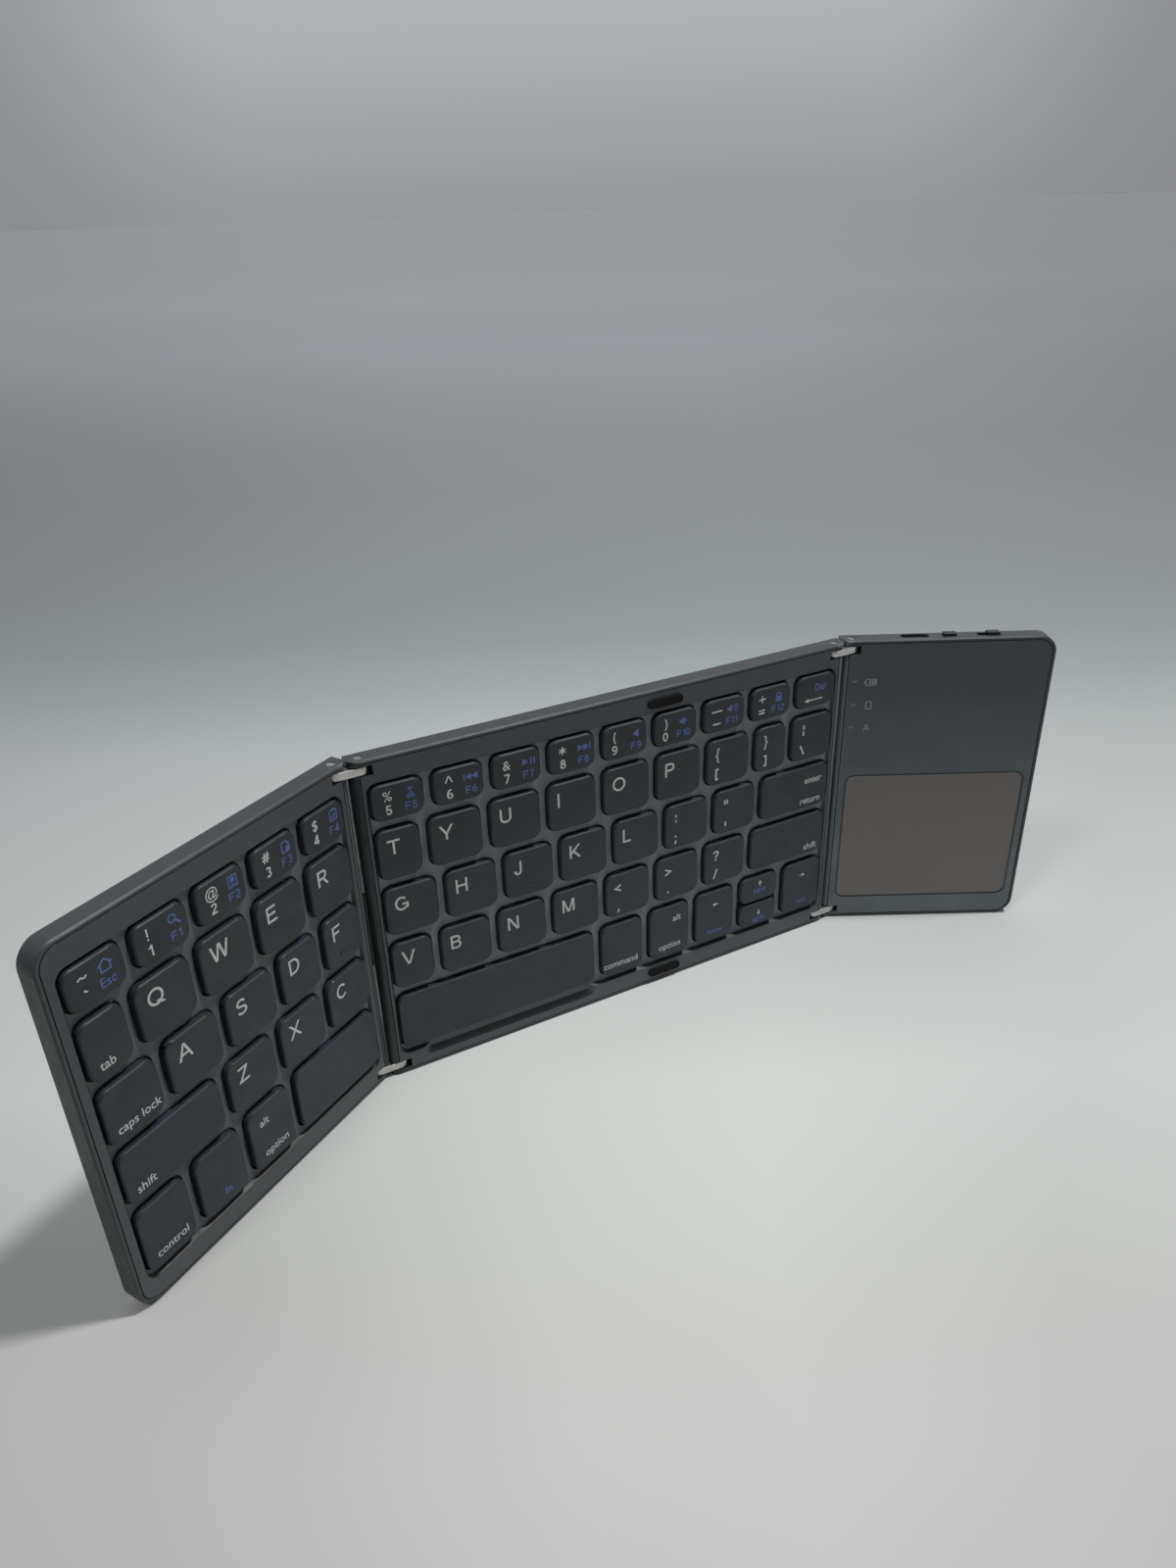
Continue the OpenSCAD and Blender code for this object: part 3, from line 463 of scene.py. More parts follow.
DIGIT = 0.62      # width of a digit
SIX = [oval(0.31, 0.31, 0.235, 0.243), arc(0.40, 0.46, 0.325, 75, 185, 9, 0.473)]
DRAWN = {
    "A": [[(0.07, 0), (0.45, 1)], [(0.85, 0), (0.47, 1)], [(0.2, 0.34), (0.72, 0.34)]],
    "B": [stem(LOW), bowl(0.40, 0.726, 0.20, 0.207), bowl(0.42, 0.293, 0.22, 0.226)],
    "C": [arc(0.43, 0.5, 0.36, 38, 322, 18, 0.433)],
    "D": [stem(LOW), bowl(0.34, 0.5, 0.37, 0.433)],
    "E": [stem(LOW), [(0, HIGH), (0.68, HIGH)], [(0, MID), (0.63, MID)], [(0, LOW), (0.70, LOW)]],
    "F": [stem(LOW), [(0, HIGH), (0.65, HIGH)], [(0, 0.5), (0.57, 0.5)]],
    "G": [arc(0.43, 0.5, 0.36, 42, 325, 18, 0.433), [(0.47, 0.46), (0.80, 0.46), (0.80, 0.14)]],
    "H": [stem(LOW), stem(0.71), [(0, MID), (0.77, MID)]],
    "I": [stem(LOW)],
    "J": [[(0.46, 1), *arc(0.265, 0.28, 0.195, 0, -180, 9, 0.213), (0.07, 0.33)]],
    "K": [stem(LOW), [(0.06, 0.30), (0.70, 1)], [(0.27, 0.55), (0.74, 0)]],
    "L": [stem(LOW), [(0, LOW), (0.62, LOW)]],
    "M": [stem(LOW), stem(0.84), [(0.09, 1), (0.43, 0)], [(0.81, 1), (0.47, 0)]],
    "N": [stem(LOW), stem(0.71), [(0.09, 1), (0.68, 0)]],
    "O": [oval(0.48, 0.5, 0.41, 0.433)],
    "P": [stem(LOW), bowl(0.43, 0.70, 0.21, 0.233)],
    "Q": [oval(0.48, 0.5, 0.41, 0.433), [(0.55, 0.26), (0.90, -0.03)]],
    "R": [stem(LOW), bowl(0.44, 0.70, 0.21, 0.233), [(0.43, 0.47), (0.73, 0)]],
    "S": [arc(0.37, 0.722, 0.265, 20, 245, 14, 0.21) + arc(0.37, 0.288, 0.29, 65, -160, 14, 0.22)],
    "T": [stem(0.40), [(0, HIGH), (0.80, HIGH)]],
    "U": [[(LOW, 1), *arc(0.385, 0.36, 0.318, 180, 360, 12, 0.293), (0.703, 1)]],
    "V": [[(0.07, 1), (0.43, 0)], [(0.83, 1), (0.47, 0)]],
    "W": [[(0.07, 1), (0.33, 0)], [(0.60, 1), (0.35, 0)],
          [(0.65, 1), (0.90, 0)], [(1.18, 1), (0.92, 0)]],
    "X": [[(0.07, 1), (0.81, 0)], [(0.79, 1), (0.05, 0)]],
    "Y": [[(0.07, 1), (0.44, 0.40)], [(0.83, 1), (0.46, 0.40)], [(0.45, 0.46), (0.45, 0)]],
    "Z": [[(0.05, HIGH), (0.74, HIGH)], [(0.69, 0.95), (0.10, 0.05)], [(0.02, LOW), (0.77, LOW)]],
    "0": [oval(0.31, 0.5, 0.24, 0.433)],
    "1": [stem(0.36), [(0.36, 0.93), (0.12, 0.72)]],
    "2": [arc(0.31, 0.70, 0.235, 165, -38, 12, 0.233) + [(0.08, 0.10)], [(0.03, LOW), (0.60, LOW)]],
    "3": [arc(0.30, 0.728, 0.21, 150, -85, 12, 0.205), arc(0.30, 0.29, 0.235, 85, -150, 12, 0.223)],
    "4": [stem(0.45), [(0.44, 0.97), (0.06, 0.28)], [(0.01, 0.26), (0.63, 0.26)]],
    "5": [[(0.57, HIGH), (0.17, HIGH), (0.11, 0.48), *arc(0.31, 0.32, 0.24, 125, -155, 12, 0.253)]],
    "6": SIX,
    "7": [[(0.03, HIGH), (0.60, HIGH)], [(0.55, 0.93), (0.23, 0)]],
    "8": [oval(0.31, 0.728, 0.20, 0.205), oval(0.31, 0.29, 0.24, 0.223)],
    "9": [tuple(p if p == "closed" else (DIGIT - p[0], 1 - p[1]) for p in line) for line in SIX],
    "`": [[(0.05, 0.85), (0.25, 0.60)]],
    "~": [[(0, 0.38), (0.15, 0.52), (0.3, 0.54), (0.5, 0.42), (0.65, 0.42), (0.8, 0.56)]],
    "!": [[(0.1, 0.32), (0.1, 1.05)], [(0.1, 0), (0.1, 0.16)]],
    "#": [[(0.2, 0), (0.36, 1)], [(0.52, 0), (0.68, 1)], [(0.05, 0.66), (0.85, 0.66)],
          [(0.02, 0.34), (0.82, 0.34)]],
    "^": [[(0.07, 0.30), (0.40, 1)], [(0.77, 0.30), (0.44, 1)]],
    "*": [[(0.4, 0.1), (0.4, 0.95)], [(0.05, 0.33), (0.75, 0.73)], [(0.05, 0.73), (0.75, 0.33)]],
    "(": [arc(0.65, 0.42, 0.5, 130, 230, 9, 0.85)],
    ")": [arc(-0.1, 0.42, 0.5, 50, -50, 9, 0.85)],
    "_": [[(0, 0.42), (1.35, 0.42)]],
    "-": [[(0, 0.42), (0.95, 0.42)]],
    "+": [[(0.45, 0.05), (0.45, 0.85)], [(0.03, 0.45), (0.87, 0.45)]],
    "=": [[(0, 0.26), (0.8, 0.26)], [(0, 0.60), (0.8, 0.60)]],
    "[": [[(0.34, 0.98), (0.08, 0.98), (0.08, 0.02), (0.34, 0.02)]],
    "]": [[(0, 0.98), (0.26, 0.98), (0.26, 0.02), (0, 0.02)]],
    "|": [[(0.1, 0), (0.1, 0.44)], [(0.1, 0.6), (0.1, 1.04)]],
    "\\": [[(0.02, 0.95), (0.45, 0.05)]],
    "/": [[(0.02, 0), (0.34, 1)]],
    ":": [[(0.1, 0), (0.1, 0.2)], [(0.1, 0.5), (0.1, 0.7)]],
    ";": [[(0.1, 0), (0.1, 0.2)], [(0.1, 0.5), (0.1, 0.7)], [(0.12, 0.02), (0.04, -0.16)]],
    "\"": [[(0.08, 0.62), (0.08, 1.05)], [(0.34, 0.62), (0.34, 1.05)]],
    "'": [[(0.1, 0.62), (0.1, 1.05)]],
    ",": [[(0.1, 0), (0.1, 0.2)], [(0.12, 0.02), (0.04, -0.16)]],
    ".": [[(0.1, 0), (0.1, 0.2)]],
    "<": [[(0.62, 0.72), (0.05, 0.42), (0.62, 0.12)]],
    ">": [[(0.05, 0.72), (0.62, 0.42), (0.05, 0.12)]],
    "?": [[*arc(0.31, 0.76, 0.24, 175, -40, 10, 0.21), (0.31, 0.44), (0.31, 0.28)],
          [(0.31, 0), (0.31, 0.16)]],
}
APART = 0.12      # space between two drawn signs
STEP_UP = 0.003   # each line of a sign stands this much above the one before, where they cross


def drawn(body, cap_mm, align="CENTER", weight=1.0):
    """Text in the drawn letters; its left end, middle or right end is at the origin."""
    made = []
    start = 0.0
    for sign in body:
        lines = DRAWN[sign]
        for k, line in enumerate(lines):
            closed = line[0] == "closed"
            points = [((start + x) * cap_mm, y * cap_mm) for x, y in (line[1:] if closed else line)]
            made.append(ribbon(points, PEN * weight * cap_mm, closed, lift=STEP_UP * k))
        start += max(p[0] for line in lines for p in line if p != "closed") + LOW + APART
    width = (start - APART) * cap_mm
    shift = {"LEFT": 0, "CENTER": -width / 2, "RIGHT": -width}[align]
    for mesh in made:
        mesh.transform(Matrix.Translation((shift, 0, 0)))
    return made


def lettering(body, cap_mm, align="CENTER", weight=1.0):
    """Drawn letters where there are such, otherwise the font's own."""
    if all(sign in DRAWN for sign in body):
        return drawn(body, cap_mm, align, weight)
    return words(body, cap_mm, align, SIGN_WEIGHT * weight)


def frame_of(w, h, stroke=STROKE):
    return shape(box(0, 0, w, h), box(0, 0, w - 2 * stroke, h - 2 * stroke))


def turned(meshes, degrees=180):
    for mesh in meshes:
        mesh.transform(Matrix.Rotation(math.radians(degrees), 4, "Z"))
    return meshes


def house():
    eave, wall, foot, inner, sill = 2.0, 1.3, -1.5, 0.92, -1.5 + STROKE
    return shape([(-eave, 0), (0, 1.65), (eave, 0), (wall, 0),
                  (wall, foot), (-wall, foot), (-wall, 0)],
                 [(-inner, sill), (-inner, 0.36), (0, 1.12), (inner, 0.36), (inner, sill)])


def magnifier():
    return shape(arc(-0.45, 0.5, 1.05), arc(-0.45, 0.5, 0.7)) + bar(0.25, -0.2, 1.45, -1.45, 0.5)


def select_all():
    return frame_of(2.6, 3.0) + shape(box(0, 0.35, 1.2, 1.1)) + bar(-0.6, -0.8, 0.6, -0.8)


def page(w, h, cut):
    """Sheet with its upper right corner cut off."""
    def sheet(x, y):
        return [(-x, -y), (x, -y), (x, y - cut), (x - cut, y), (-x, y)]
    return shape(sheet(w / 2, h / 2), sheet(w / 2 - STROKE, h / 2 - STROKE))


def copy_sheets():
    return page(2.5, 2.9, 0.8) + shape(box(0.7, -0.75, 1.3, 1.5), lift=0.006)


def paste_board():
    clip = bar(-0.6, 1.45, 0.6, 1.45, 0.6)
    return frame_of(2.6, 2.9) + clip + bar(-0.7, -0.7, 0.3, 0.5) + bar(0, -0.9, 0.8, 0.1)


def scissors():
    made = []
    for side in (-1, 1):
        made += shape(arc(side * 0.62, -1.05, 0.55), arc(side * 0.62, -1.05, 0.27))
        made += bar(side * 0.4, -0.6, -side * 0.5, 1.6, 0.3)
    return made


def triangle(x, w, h):
    return shape([(x, 0), (x + w, h / 2), (x + w, -h / 2)])


def back_track():
    return shape(box(-1.85, 0, 0.35, 2.0)) + triangle(-1.6, 1.7, 2.0) + triangle(0.1, 1.7, 2.0)


def play_pause():
    bars = shape(box(0.65, 0, 0.45, 2.0)) + shape(box(1.6, 0, 0.45, 2.0))
    return turned(triangle(0.05, 1.75, 2.0)) + bars


def speaker(waves, x=0.0):
    outline = [(-1, -0.4), (-0.5, -0.4), (0.7, -1.2), (0.7, 1.2), (-0.5, 0.4), (-1, 0.4)]
    made = shape([(x + px, py) for px, py in outline])
    for k in range(waves):
        r = 0.75 + 0.6 * k
        made.append(ribbon(arc(x + 0.5, 0, r, -42, 42, 8), 0.26))
    return made


def padlock():
    hoop = [*arc(0, 0.45, 0.85, 0, 180, 12), (-0.85, 0.0), (-0.5, 0.0),
            *arc(0, 0.45, 0.5, 180, 0, 12), (0.5, 0.0), (0.85, 0.0)]
    return shape(hoop) + shape(box(0, -0.75, 2.1, 1.65), lift=0.004)


def arrow(length, head_w, head_l, shaft):
    """Arrow that points left."""
    tip, neck, end = -length / 2, head_l - length / 2, length / 2
    lower = [(neck, -head_w / 2), (neck, -shaft / 2), (end, -shaft / 2)]
    return shape([(tip, 0), *lower, *[(x, -y) for x, y in reversed(lower)]])


def battery_sign():
    made = frame_of(3.3, 2.1, 0.22) + shape(box(-1.85, 0, 0.4, 0.9))
    for k in range(3):
        made += shape(box(1.1 - 0.75 * k, 0, 0.42, 1.25))
    return made


def rounded(w, h, r):
    """Points of a box with rounded corners, about the origin."""
    x, y = w / 2 - r, h / 2 - r
    corners = ((x, y), (-x, y), (-x, -y), (x, -y))
    return [p for k, (cx, cy) in enumerate(corners) for p in arc(cx, cy, r, 90 * k, 90 * k + 90, 5)]


class Print:
    """The marks of one colour on one moving piece, joined into one mesh that rides on it."""

    def __init__(self, name, panel, depth, ink):
        self.name, self.panel, self.depth, self.ink = name, panel, depth, ink
        self.mesh = bmesh.new()

    def put(self, meshes, x, z):
        """Places marks drawn in X and Y at x and z of the panel, in millimetres."""
        upright = Matrix.Rotation(math.radians(90), 4, "X") @ Matrix.Diagonal((MM, MM, MM, 1))
        place = self.panel @ Matrix.Translation((x * MM, self.depth * MM, z * MM)) @ upright
        for mesh in meshes:
            mesh.transform(place)
            self.mesh.from_mesh(mesh)
            bpy.data.meshes.remove(mesh)

    def done(self, body):
        """Makes the piece and lets it ride on a body; without marks there is none."""
        if not self.mesh.verts:
            return
        bmesh.ops.remove_doubles(self.mesh, verts=self.mesh.verts, dist=1e-7)
        data = bpy.data.meshes.new(self.name)
        self.mesh.to_mesh(data)
        data.materials.append(self.ink)
        obj = bpy.data.objects.new(self.name, data)
        bpy.context.scene.collection.objects.link(obj)
        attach(obj, body)


class Key:
    """Box of one key in its panel, in millimetres."""

    def __init__(self, points):
        self.x0, self.x1 = min(p.x for p in points), max(p.x for p in points)
        self.z0, self.z1 = min(p.z for p in points), max(p.z for p in points)
        self.top = min(p.y for p in points)
        self.x = (self.x0 + self.x1) / 2


def keys_of(node, panel):
    """The keys of a node from left to right, found as the separate solids of its mesh."""
    obj = NODES[node]
    place = Matrix.Diagonal((1 / MM, 1 / MM, 1 / MM, 1)) @ panel.inverted() @ obj.matrix_world
    work = bmesh.new()
    work.from_mesh(obj.data)
    bmesh.ops.remove_doubles(work, verts=work.verts, dist=1e-6)
    found = []
    left = set(work.verts)
    while left:
        stack = [left.pop()]
        points = []
        while stack:
            vert = stack.pop()
            points.append(place @ vert.co)
            for edge in vert.link_edges:
                other = edge.other_vert(vert)
                if other in left:
                    left.remove(other)
                    stack.append(other)
        found.append(Key(points))
    work.free()
    return sorted(found, key=lambda key: key.x0)


class Legend:
    """White and blue print on the keys of one node."""

    def __init__(self, node, panel):
        self.node, self.keys = node, keys_of(node, panel)
        top = max(key.top for key in self.keys)
        self.white = Print("white_print_" + node, panel, top, WHITE)
        self.blue = Print("blue_print_" + node, panel, top, BLUE)

    def done(self):
        for ink in (self.white, self.blue):
            ink.done(BODY_OF[self.node])


# letters: distances from the left and the upper edge of a key
LEFT_LETTERS, CENTRE_LETTERS = (2.75, 2.4), (2.6, 2.85)
# pairs of signs: distance from the left edge, heights of the upper and the lower one, weight
PAIR_IN, PAIR_HIGH, PAIR_LOW, PAIR_WEIGHT = 3.8, 8.3, 1.9, 1.15
# pairs that depart from these three
PAIR_SHIFT = {"{[": (-0.5, 0, 0), "}]": (-0.5, 0, 0), ":;": (-0.5, 0.5, 0.2),
              "\"'": (0, -0.5, -1.5), ">.": (0, 0, 0.4)}


def letter_row(node, panel, letters):
    """A letter on each key, or an upper and a lower sign where two are given."""
    legend = Legend(node, panel)
    inset, drop = LEFT_LETTERS if panel is LEFT else CENTRE_LETTERS
    for key, body in zip(legend.keys, letters):
        if len(body) == 1:
            legend.white.put(drawn(body, LETTER, "LEFT"), key.x0 + inset, key.z1 - drop - LETTER)
        else:
            aside, high, low = PAIR_SHIFT.get(body, (0, 0, 0))
            for sign, z in zip(body, (PAIR_HIGH + high, PAIR_LOW + low)):
                marks = lettering(sign, PAIR, "CENTER", PAIR_WEIGHT)
                legend.white.put(marks, key.x0 + PAIR_IN + aside, key.z0 + z)
    legend.done()


# number row: distances from the left edge of a key of the digits, what departs from it, and of
# the short and the long blue labels
DIGIT_IN = 4.2
DIGIT_SHIFT = {"1": -0.8, "4": -0.3, "7": -0.3, "8": -0.3, "9": -0.8, "0": -0.9, "=": -0.6}
LABEL_IN, LONG_LABEL_IN = 10.1, 9.2
# weights of the signs and the digits, heights of the digits, the labels, the signs and the icons
SIGN_BOLD, DIGIT_BOLD = 1.05, 1.2
DIGIT_UP, LABEL_UP, SIGN_UP, ICON_UP = 1.5, 1.65, 5.3, 6.35


def number_row(node, panel, signs):
    """Digit with a white sign above it, blue label with a blue icon above it."""
    legend = Legend(node, panel)
    for key, (upper, lower, label, icon) in zip(legend.keys, signs):
        white = key.x0 + DIGIT_IN + DIGIT_SHIFT.get(lower, 0)
        blue = key.x0 + (LONG_LABEL_IN if len(label) > 2 else LABEL_IN)
        z = key.z0 + (0.35 if panel is LEFT else 0.05)
        legend.white.put(lettering(upper, SIGN, "CENTER", SIGN_BOLD), white, z + SIGN_UP)
        legend.white.put(lettering(lower, SIGN, "CENTER", DIGIT_BOLD), white, z + DIGIT_UP)
        legend.blue.put(lettering(label, BLUE_CAP), blue, z + LABEL_UP)
        legend.blue.put(icon, blue + 0.1, z + ICON_UP)
    legend.done()


def single_key(node, panel, *marks):
    """Marks on one key: (ink, meshes, from which side, distance in X, height)."""
    legend = Legend(node, panel)
    key = legend.keys[0]
    for ink, meshes, side, x, z in marks:
        at = {"LEFT": key.x0 + x, "CENTER": key.x + x, "RIGHT": key.x1 - x}[side]
        (legend.blue if ink is BLUE else legend.white).put(meshes, at, key.z0 + z)
    legend.done()


# word keys: panel, ink, from which side, then each word with its distance in X and its height
WORD_KEYS = {
    "tab_key": (LEFT, WHITE, "LEFT", ("tab", 2.5, 2.0)),
    "caps_lock_key": (LEFT, WHITE, "LEFT", ("caps lock", 2.1, 2.2)),
    "left_shift_key": (LEFT, WHITE, "LEFT", ("shift", 2.4, 2.2)),
    "control_key": (LEFT, WHITE, "LEFT", ("control", 2.5, 2.8)),
    "function_key": (LEFT, BLUE, "CENTER", ("fn", 0.6, 2.8)),
    "left_option_key": (LEFT, WHITE, "LEFT", ("alt", 3.2, 12.1), ("option", 3.2, 2.8)),
    "enter_key": (CENTRE, WHITE, "RIGHT", ("enter", 2.2, 8.5), ("return", 2.2, 1.6)),
    "right_shift_key": (CENTRE, WHITE, "RIGHT", ("shift", 2.2, 1.6)),
    "command_key": (CENTRE, WHITE, "RIGHT", ("command", 1.6, 2.7)),
    "right_option_key": (CENTRE, WHITE, "RIGHT", ("alt", 2.9, 12.1), ("option", 2.9, 2.6)),
}
# arrow keys: turn of the arrow, shift of arrow and word in X, height of the arrow, word, its height
ARROW_KEYS = {
    "left_arrow_key": (0, 0, 12.9, "home", 2.4),
    "right_arrow_key": (180, 0.2, 12.9, "end", 2.4),
    "up_arrow_key": (-90, 0.3, 6.4, "pgup", 3.4),
    "down_arrow_key": (90, 0.3, 4.2, "pgdn", 1.2),
}


def print_keys():
    """Prints every key but the space keys."""
    number_row("left_number_keys", LEFT, [
        ("~", "`", "Esc", house()), ("!", "1", "F1", magnifier()), ("@", "2", "F2", select_all()),
        ("#", "3", "F3", copy_sheets()), ("$", "4", "F4", paste_board())])
    number_row("centre_number_keys", CENTRE, [
        ("%", "5", "F5", scissors()), ("^", "6", "F6", back_track()),
        ("&", "7", "F7", play_pause()), ("*", "8", "F8", turned(back_track())),
        ("(", "9", "F9", speaker(0)), (")", "0", "F10", speaker(1, -0.4)),
        ("_", "-", "F11", speaker(3, -0.8)), ("+", "=", "F12", padlock())])
    letter_row("left_upper_letter_keys", LEFT, "QWER")
    letter_row("left_home_letter_keys", LEFT, "ASDF")
    letter_row("left_lower_letter_keys", LEFT, "ZXC")
    letter_row("centre_upper_letter_keys", CENTRE, [*"TYUIOP", "{[", "}]", "|\\"])
    letter_row("centre_home_letter_keys", CENTRE, [*"GHJKL", ":;", "\"'"])
    letter_row("centre_lower_letter_keys", CENTRE, [*"VBNM", "<,", ">.", "?/"])
    for node, (panel, ink, side, *marks) in WORD_KEYS.items():
        placed = [(ink, words(body, WORD, side), side, x, z) for body, x, z in marks]
        single_key(node, panel, *placed)
    single_key("backspace_key", CENTRE, (BLUE, lettering("Del", BLUE_CAP), "LEFT", 8.2, 5.0),
               (WHITE, arrow(6.8, 1.3, 1.7, 0.34), "CENTER", -0.8, 2.3))
    for node, (turn, x, z, body, foot) in ARROW_KEYS.items():
        sign = turned(arrow(2.2, 1.25, 1.2, 0.3), turn)
        single_key(node, CENTRE, (WHITE, sign, "CENTER", x, z),
                   (BLUE, words(body, SMALL_WORD), "CENTER", x, foot))


def print_status_signs():
    """Grey signs beside the three lights of the touchpad panel, from the upper one down."""
    lights = keys_of("status_light_guides", RIGHT)
    heights = sorted({round((k.z0 + k.z1) / 2, 2) for k in lights}, reverse=True)
    front = keys_of("right_front_plate", RIGHT)[0].top
    grey = Print("grey_print_status_signs", RIGHT, front, GREY)
    outline = shape(rounded(1.9, 2.7, 0.6), rounded(1.3, 2.1, 0.35))
    # marks, their place in X, how far their origin is under the middle of the light
    signs = ((battery_sign(), 6.6, 0.3), (outline, 6.4, 0.3), (drawn("A", 2.2), 6.4, 1.2))
    for (marks, x, drop), z in zip(signs, heights):
        grey.put(marks, x, z - drop)
    grey.done(BODY_OF["right_front_plate"])


print_keys()
print_status_signs()


# ---------- CAD nodes: their finish, and edges rounded as moulded ones are ----------
def soften(obj, width_mm):
    """Rounds the sharp edges of a node by modifiers; its own mesh stays."""
    weld = obj.modifiers.new("weld", "WELD")
    weld.merge_threshold = 1e-6
    bevel = obj.modifiers.new("round_edges", "BEVEL")
    bevel.width = width_mm * MM
    bevel.segments = 2
    bevel.limit_method = "ANGLE"
    bevel.angle_limit = math.radians(28)   # leaves the steps of round walls alone
    bevel.harden_normals = True
    bevel.use_clamp_overlap = True


# radius of the edges, by slot
EDGE_MM = {"shell": 0.15, "front": 0.12, "key": 0.12, "hinge_steel": 0.15, "bumper_rubber": 0.2,
           "knob": 0.2, "touch_surface": 0.06, "light_guide": 0.05}
LEFT_KEY = key_finish(LEFT)
# fronts with keys: panel, colours away from and at the long front edge (the second is painted floor
# light), painted light for the recess among the keys
FRONTS = {"left_front_plate": (LEFT, srgb(57, 60, 63), srgb(77, 80, 83), srgb(80, 84, 87)),
          "centre_front_plate": (CENTRE, srgb(55, 61, 65), srgb(76, 84, 89), srgb(110, 117, 122))}
# painted light for the lit fold ends, painted shade for the centre's shaded left fold end
PAINTED_LIT_END, PAINTED_SHADE_END = srgb(84, 91, 96), srgb(27, 29, 32)
# fold ends of each back shell with painted light and shade: where along the panel the painted tone
# starts and is full, in mm, the painted tone
PAINTED_FOLD_ENDS = {"left_back_shell": (LEFT, [(-0.6, 0.0, PAINTED_LIT_END)]),
             "right_back_shell": (RIGHT, [(0.6, 0.0, PAINTED_LIT_END)]),
             "centre_back_shell": (CENTRE, [(71.8, 72.4, PAINTED_LIT_END), (-71.8, -72.4, PAINTED_SHADE_END)])}


def finish_of(name, obj):
    """Material of a node: its slot's, or one of its own where the tone depends on the place."""
    if SLOT_OF[name] == "key" and JOINT[name + "_press"]["parent"] == "left_wing":
        return LEFT_KEY
    if name in PAINTED_FOLD_ENDS:
        return shell_finish("satin_" + name, *PAINTED_FOLD_ENDS[name])
    if name in FRONTS:
        panel, base, low, web_painted_light = FRONTS[name]
        facing = ahead_of(panel)
        level = max(vert.co.dot(facing) for vert in obj.data.vertices)
        return front_finish("satin_" + name, base, low, web_painted_light, facing, level)
    return MATERIALS[SLOT_OF[name]]


for name, obj in NODES.items():
    finish = finish_of(name, obj)
    obj.data.materials.clear()
    obj.data.materials.append(finish)
    if SLOT_OF[name] in EDGE_MM:
        soften(obj, EDGE_MM[SLOT_OF[name]])


# ---------- stage, light and camera ----------
BEHIND = (0.459, 0.888, 0)   # direction on the floor away from the camera
ASIDE = (0.888, -0.459, 0)   # direction on the floor to its right
NEAR = (-0.271, 0.009)       # the camera's foot along these two
LEAST_REACH = 0.17           # nearer its foot than this the painted sideways shade stays the same
BELOW = 0.05 * MM            # how far the floor lies under the part
# tone of the paper by its distance along BEHIND, with light painted in: bright before the keyboard,
# falling to grey behind it, rising again towards the horizon
PAPER_AND_PAINTED_LIGHT = ((-0.2, (184, 184, 182)), (-0.165, (188, 188, 186)), (-0.145, (193, 193, 191)),
         (-0.12, (196, 197, 194)), (-0.04, (210, 213, 209)), (0.06, (195, 198, 196)),
         (0.17, (180, 185, 184)), (0.24, (159, 166, 165)), (0.31, (145, 152, 151)),
         (0.39, (142, 148, 148)), (0.51, (144, 149, 149)), (0.66, (149, 154, 154)),
         (0.86, (162, 166, 167)), (1.18, (188, 192, 194)), (1.7, (221, 224, 228)),
         (2.8, (248, 249, 253)), (6.0, (250, 251, 255)))


def floor():
    """Pale paper with light and shade painted into its tone: it falls to grey behind the keyboard
    and rises again towards the horizon, and seen from the camera it is painted dimmer towards both
    sides."""
    bpy.ops.mesh.primitive_plane_add(size=40, location=(0, 0, -BELOW))
    plane = bpy.context.object
    plane.name = "floor"
    s = Shader("floor_paper", srgb(220, 220, 218), 0.65)
    away = s.dot(s.where, BEHIND)
    near, far = PAPER_AND_PAINTED_LIGHT[0][0], PAPER_AND_PAINTED_LIGHT[-1][0]
    tones = s.node("ShaderNodeValToRGB", Fac=s.maths("POWER", s.ramp(away, near, far), 0.5))
    stops = tones.color_ramp.elements
    while len(stops) < len(PAPER_AND_PAINTED_LIGHT):
        stops.new(0.5)
    for stop, (distance, tone) in zip(stops, PAPER_AND_PAINTED_LIGHT):
        stop.position = ((distance - near) / (far - near)) ** 0.5
        stop.color = srgb(*tone)
    s.colour = tones.outputs["Color"]
    reach = s.maths("MAXIMUM", s.maths("SUBTRACT", away, NEAR[0]), LEAST_REACH)
    aside = s.maths("DIVIDE", s.maths("SUBTRACT", s.dot(s.where, ASIDE), NEAR[1]), reach)
    # painted shade: the paper made dimmer towards both sides of the camera's view
    s.tint(s.ramp(aside, -0.9, -0.15, 0.38, 0.0), srgb(118, 119, 121))
    s.tint(s.ramp(aside, 0.12, 0.5, 0.0, 0.24), srgb(118, 119, 119))
    s.bump(1.5, 0.01)
    plane.data.materials.append(s.material)


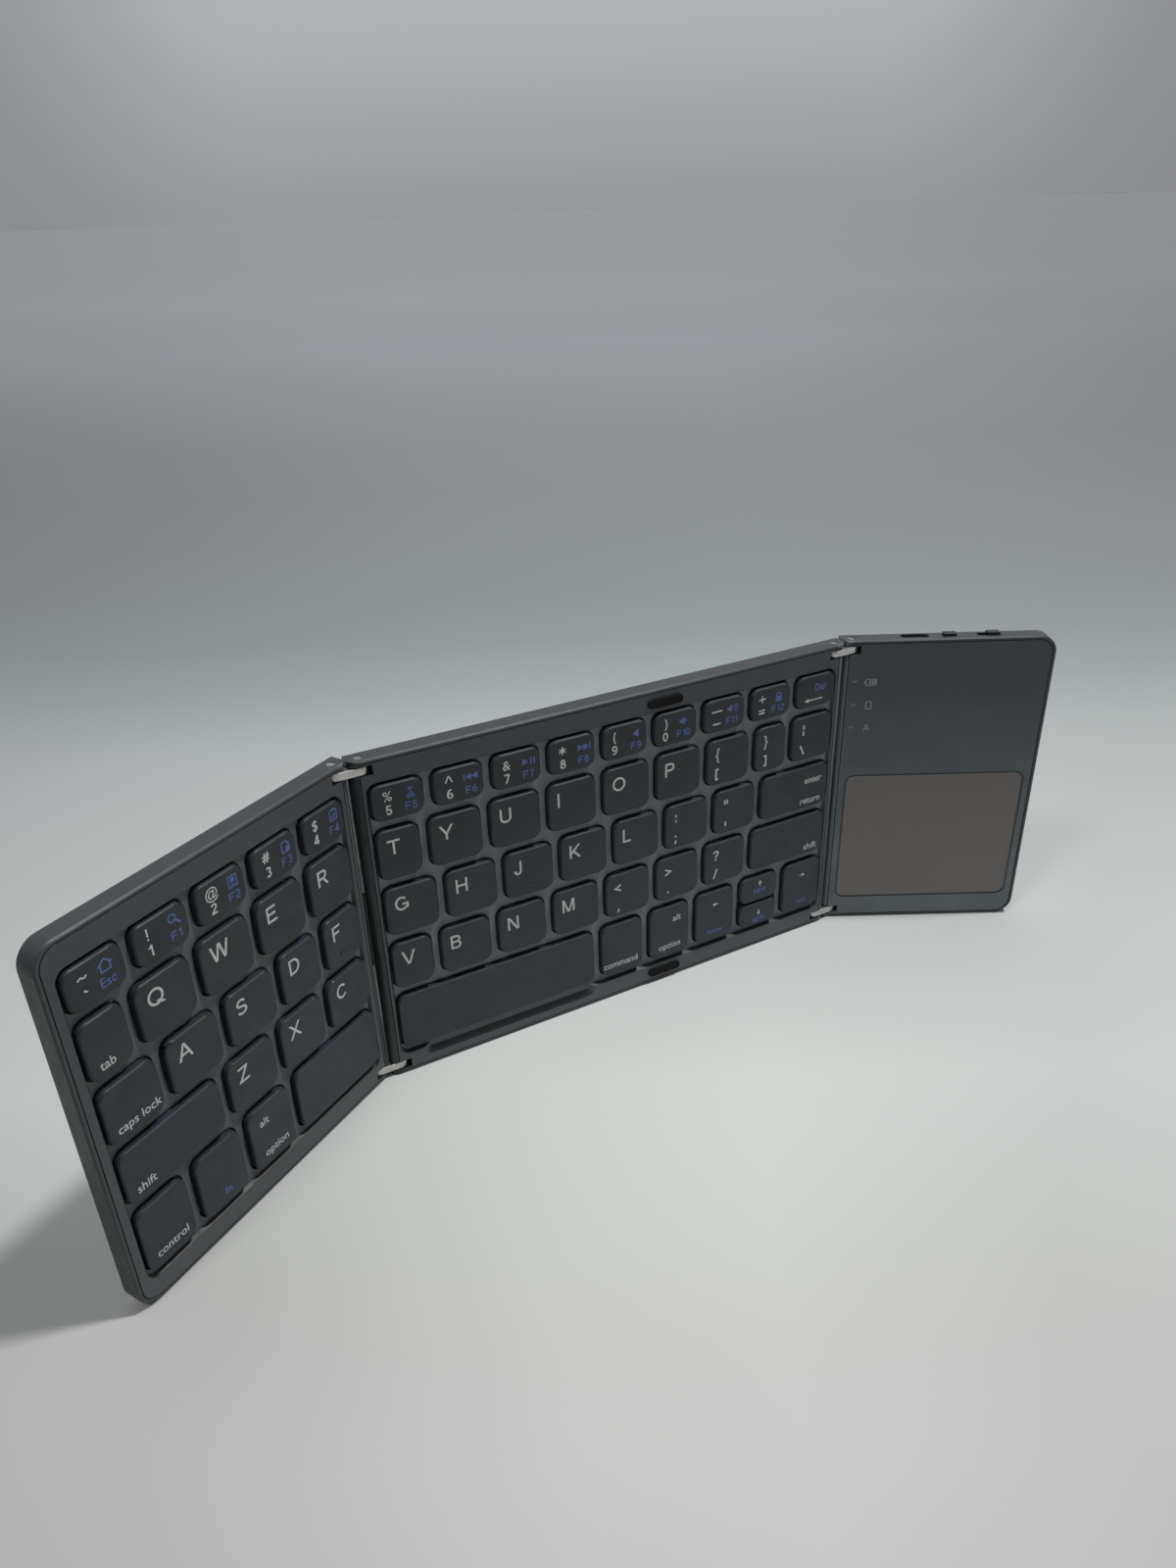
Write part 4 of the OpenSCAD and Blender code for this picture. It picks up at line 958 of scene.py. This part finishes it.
def area_light(name, at, to, size, watts):
    """Round light that shines from at towards to."""
    data = bpy.data.lights.new(name, "AREA")
    data.shape = "DISK"
    data.size = size
    data.energy = watts
    obj = bpy.data.objects.new(name, data)
    bpy.context.scene.collection.objects.link(obj)
    obj.location = at
    obj.rotation_euler = (Vector(to) - Vector(at)).to_track_quat("-Z", "Y").to_euler()


def world(seen, side, behind, before):
    """The camera sees a tone that rises from the horizon up and falls to the sides. What lights
    the part is brighter behind the keyboard than before it."""
    made = bpy.data.worlds.new("studio")
    made.use_nodes = True
    w = Nodes(made.node_tree)
    where = w.node("ShaderNodeTexCoord").outputs["Generated"]
    room = w.mix(w.ramp(w.dot(where, BEHIND), -0.6, 0.6, smooth=True), before, behind)
    sky = w.mix(w.ramp(w.height(where), 0.0, 0.12), *seen)
    sideways = w.maths("ABSOLUTE", w.dot(where, ASIDE))
    sky = w.mix(w.ramp(sideways, 0.22, 0.46, 0.0, 0.9, smooth=True), sky, side)
    by_camera = w.node("ShaderNodeLightPath").outputs["Is Camera Ray"]
    w.feed(w.mix(by_camera, room, sky), w.tree.nodes["Background"].inputs["Color"])
    bpy.context.scene.world = made


def camera():
    """The place, turn and lens of the photograph's camera."""
    data = bpy.data.cameras.new("camera")
    data.sensor_width = 36
    data.lens = 25.353
    data.clip_start = 0.01
    data.clip_end = 100
    obj = bpy.data.objects.new("camera", data)
    bpy.context.scene.collection.objects.link(obj)
    right = Vector((0.88129667, -0.47175623, -0.02760872))
    up = Vector((0.24300793, 0.4023114, 0.88266227))
    back = Vector((-0.40529412, -0.78459646, 0.4691962))
    turn = Matrix((right, up, back)).transposed().to_4x4()
    obj.matrix_world = Matrix.Translation((-0.132671, -0.237165, 0.215410)) @ turn
    bpy.context.scene.camera = obj


floor()
area_light("key_light", (0.44, -0.21, 1.23), (-0.06, 0, 0.05), 0.12, 12)
area_light("fill_light", (-0.62, -0.30, 1.10), (0.03, 0, 0.05), 0.24, 3.1)
world(seen=(srgb(151, 153, 157), srgb(176, 177, 181)), side=srgb(137, 138, 142),
      behind=srgb(188, 189, 192), before=srgb(94, 95, 97))
camera()
bpy.context.scene.view_settings.view_transform = "Standard"
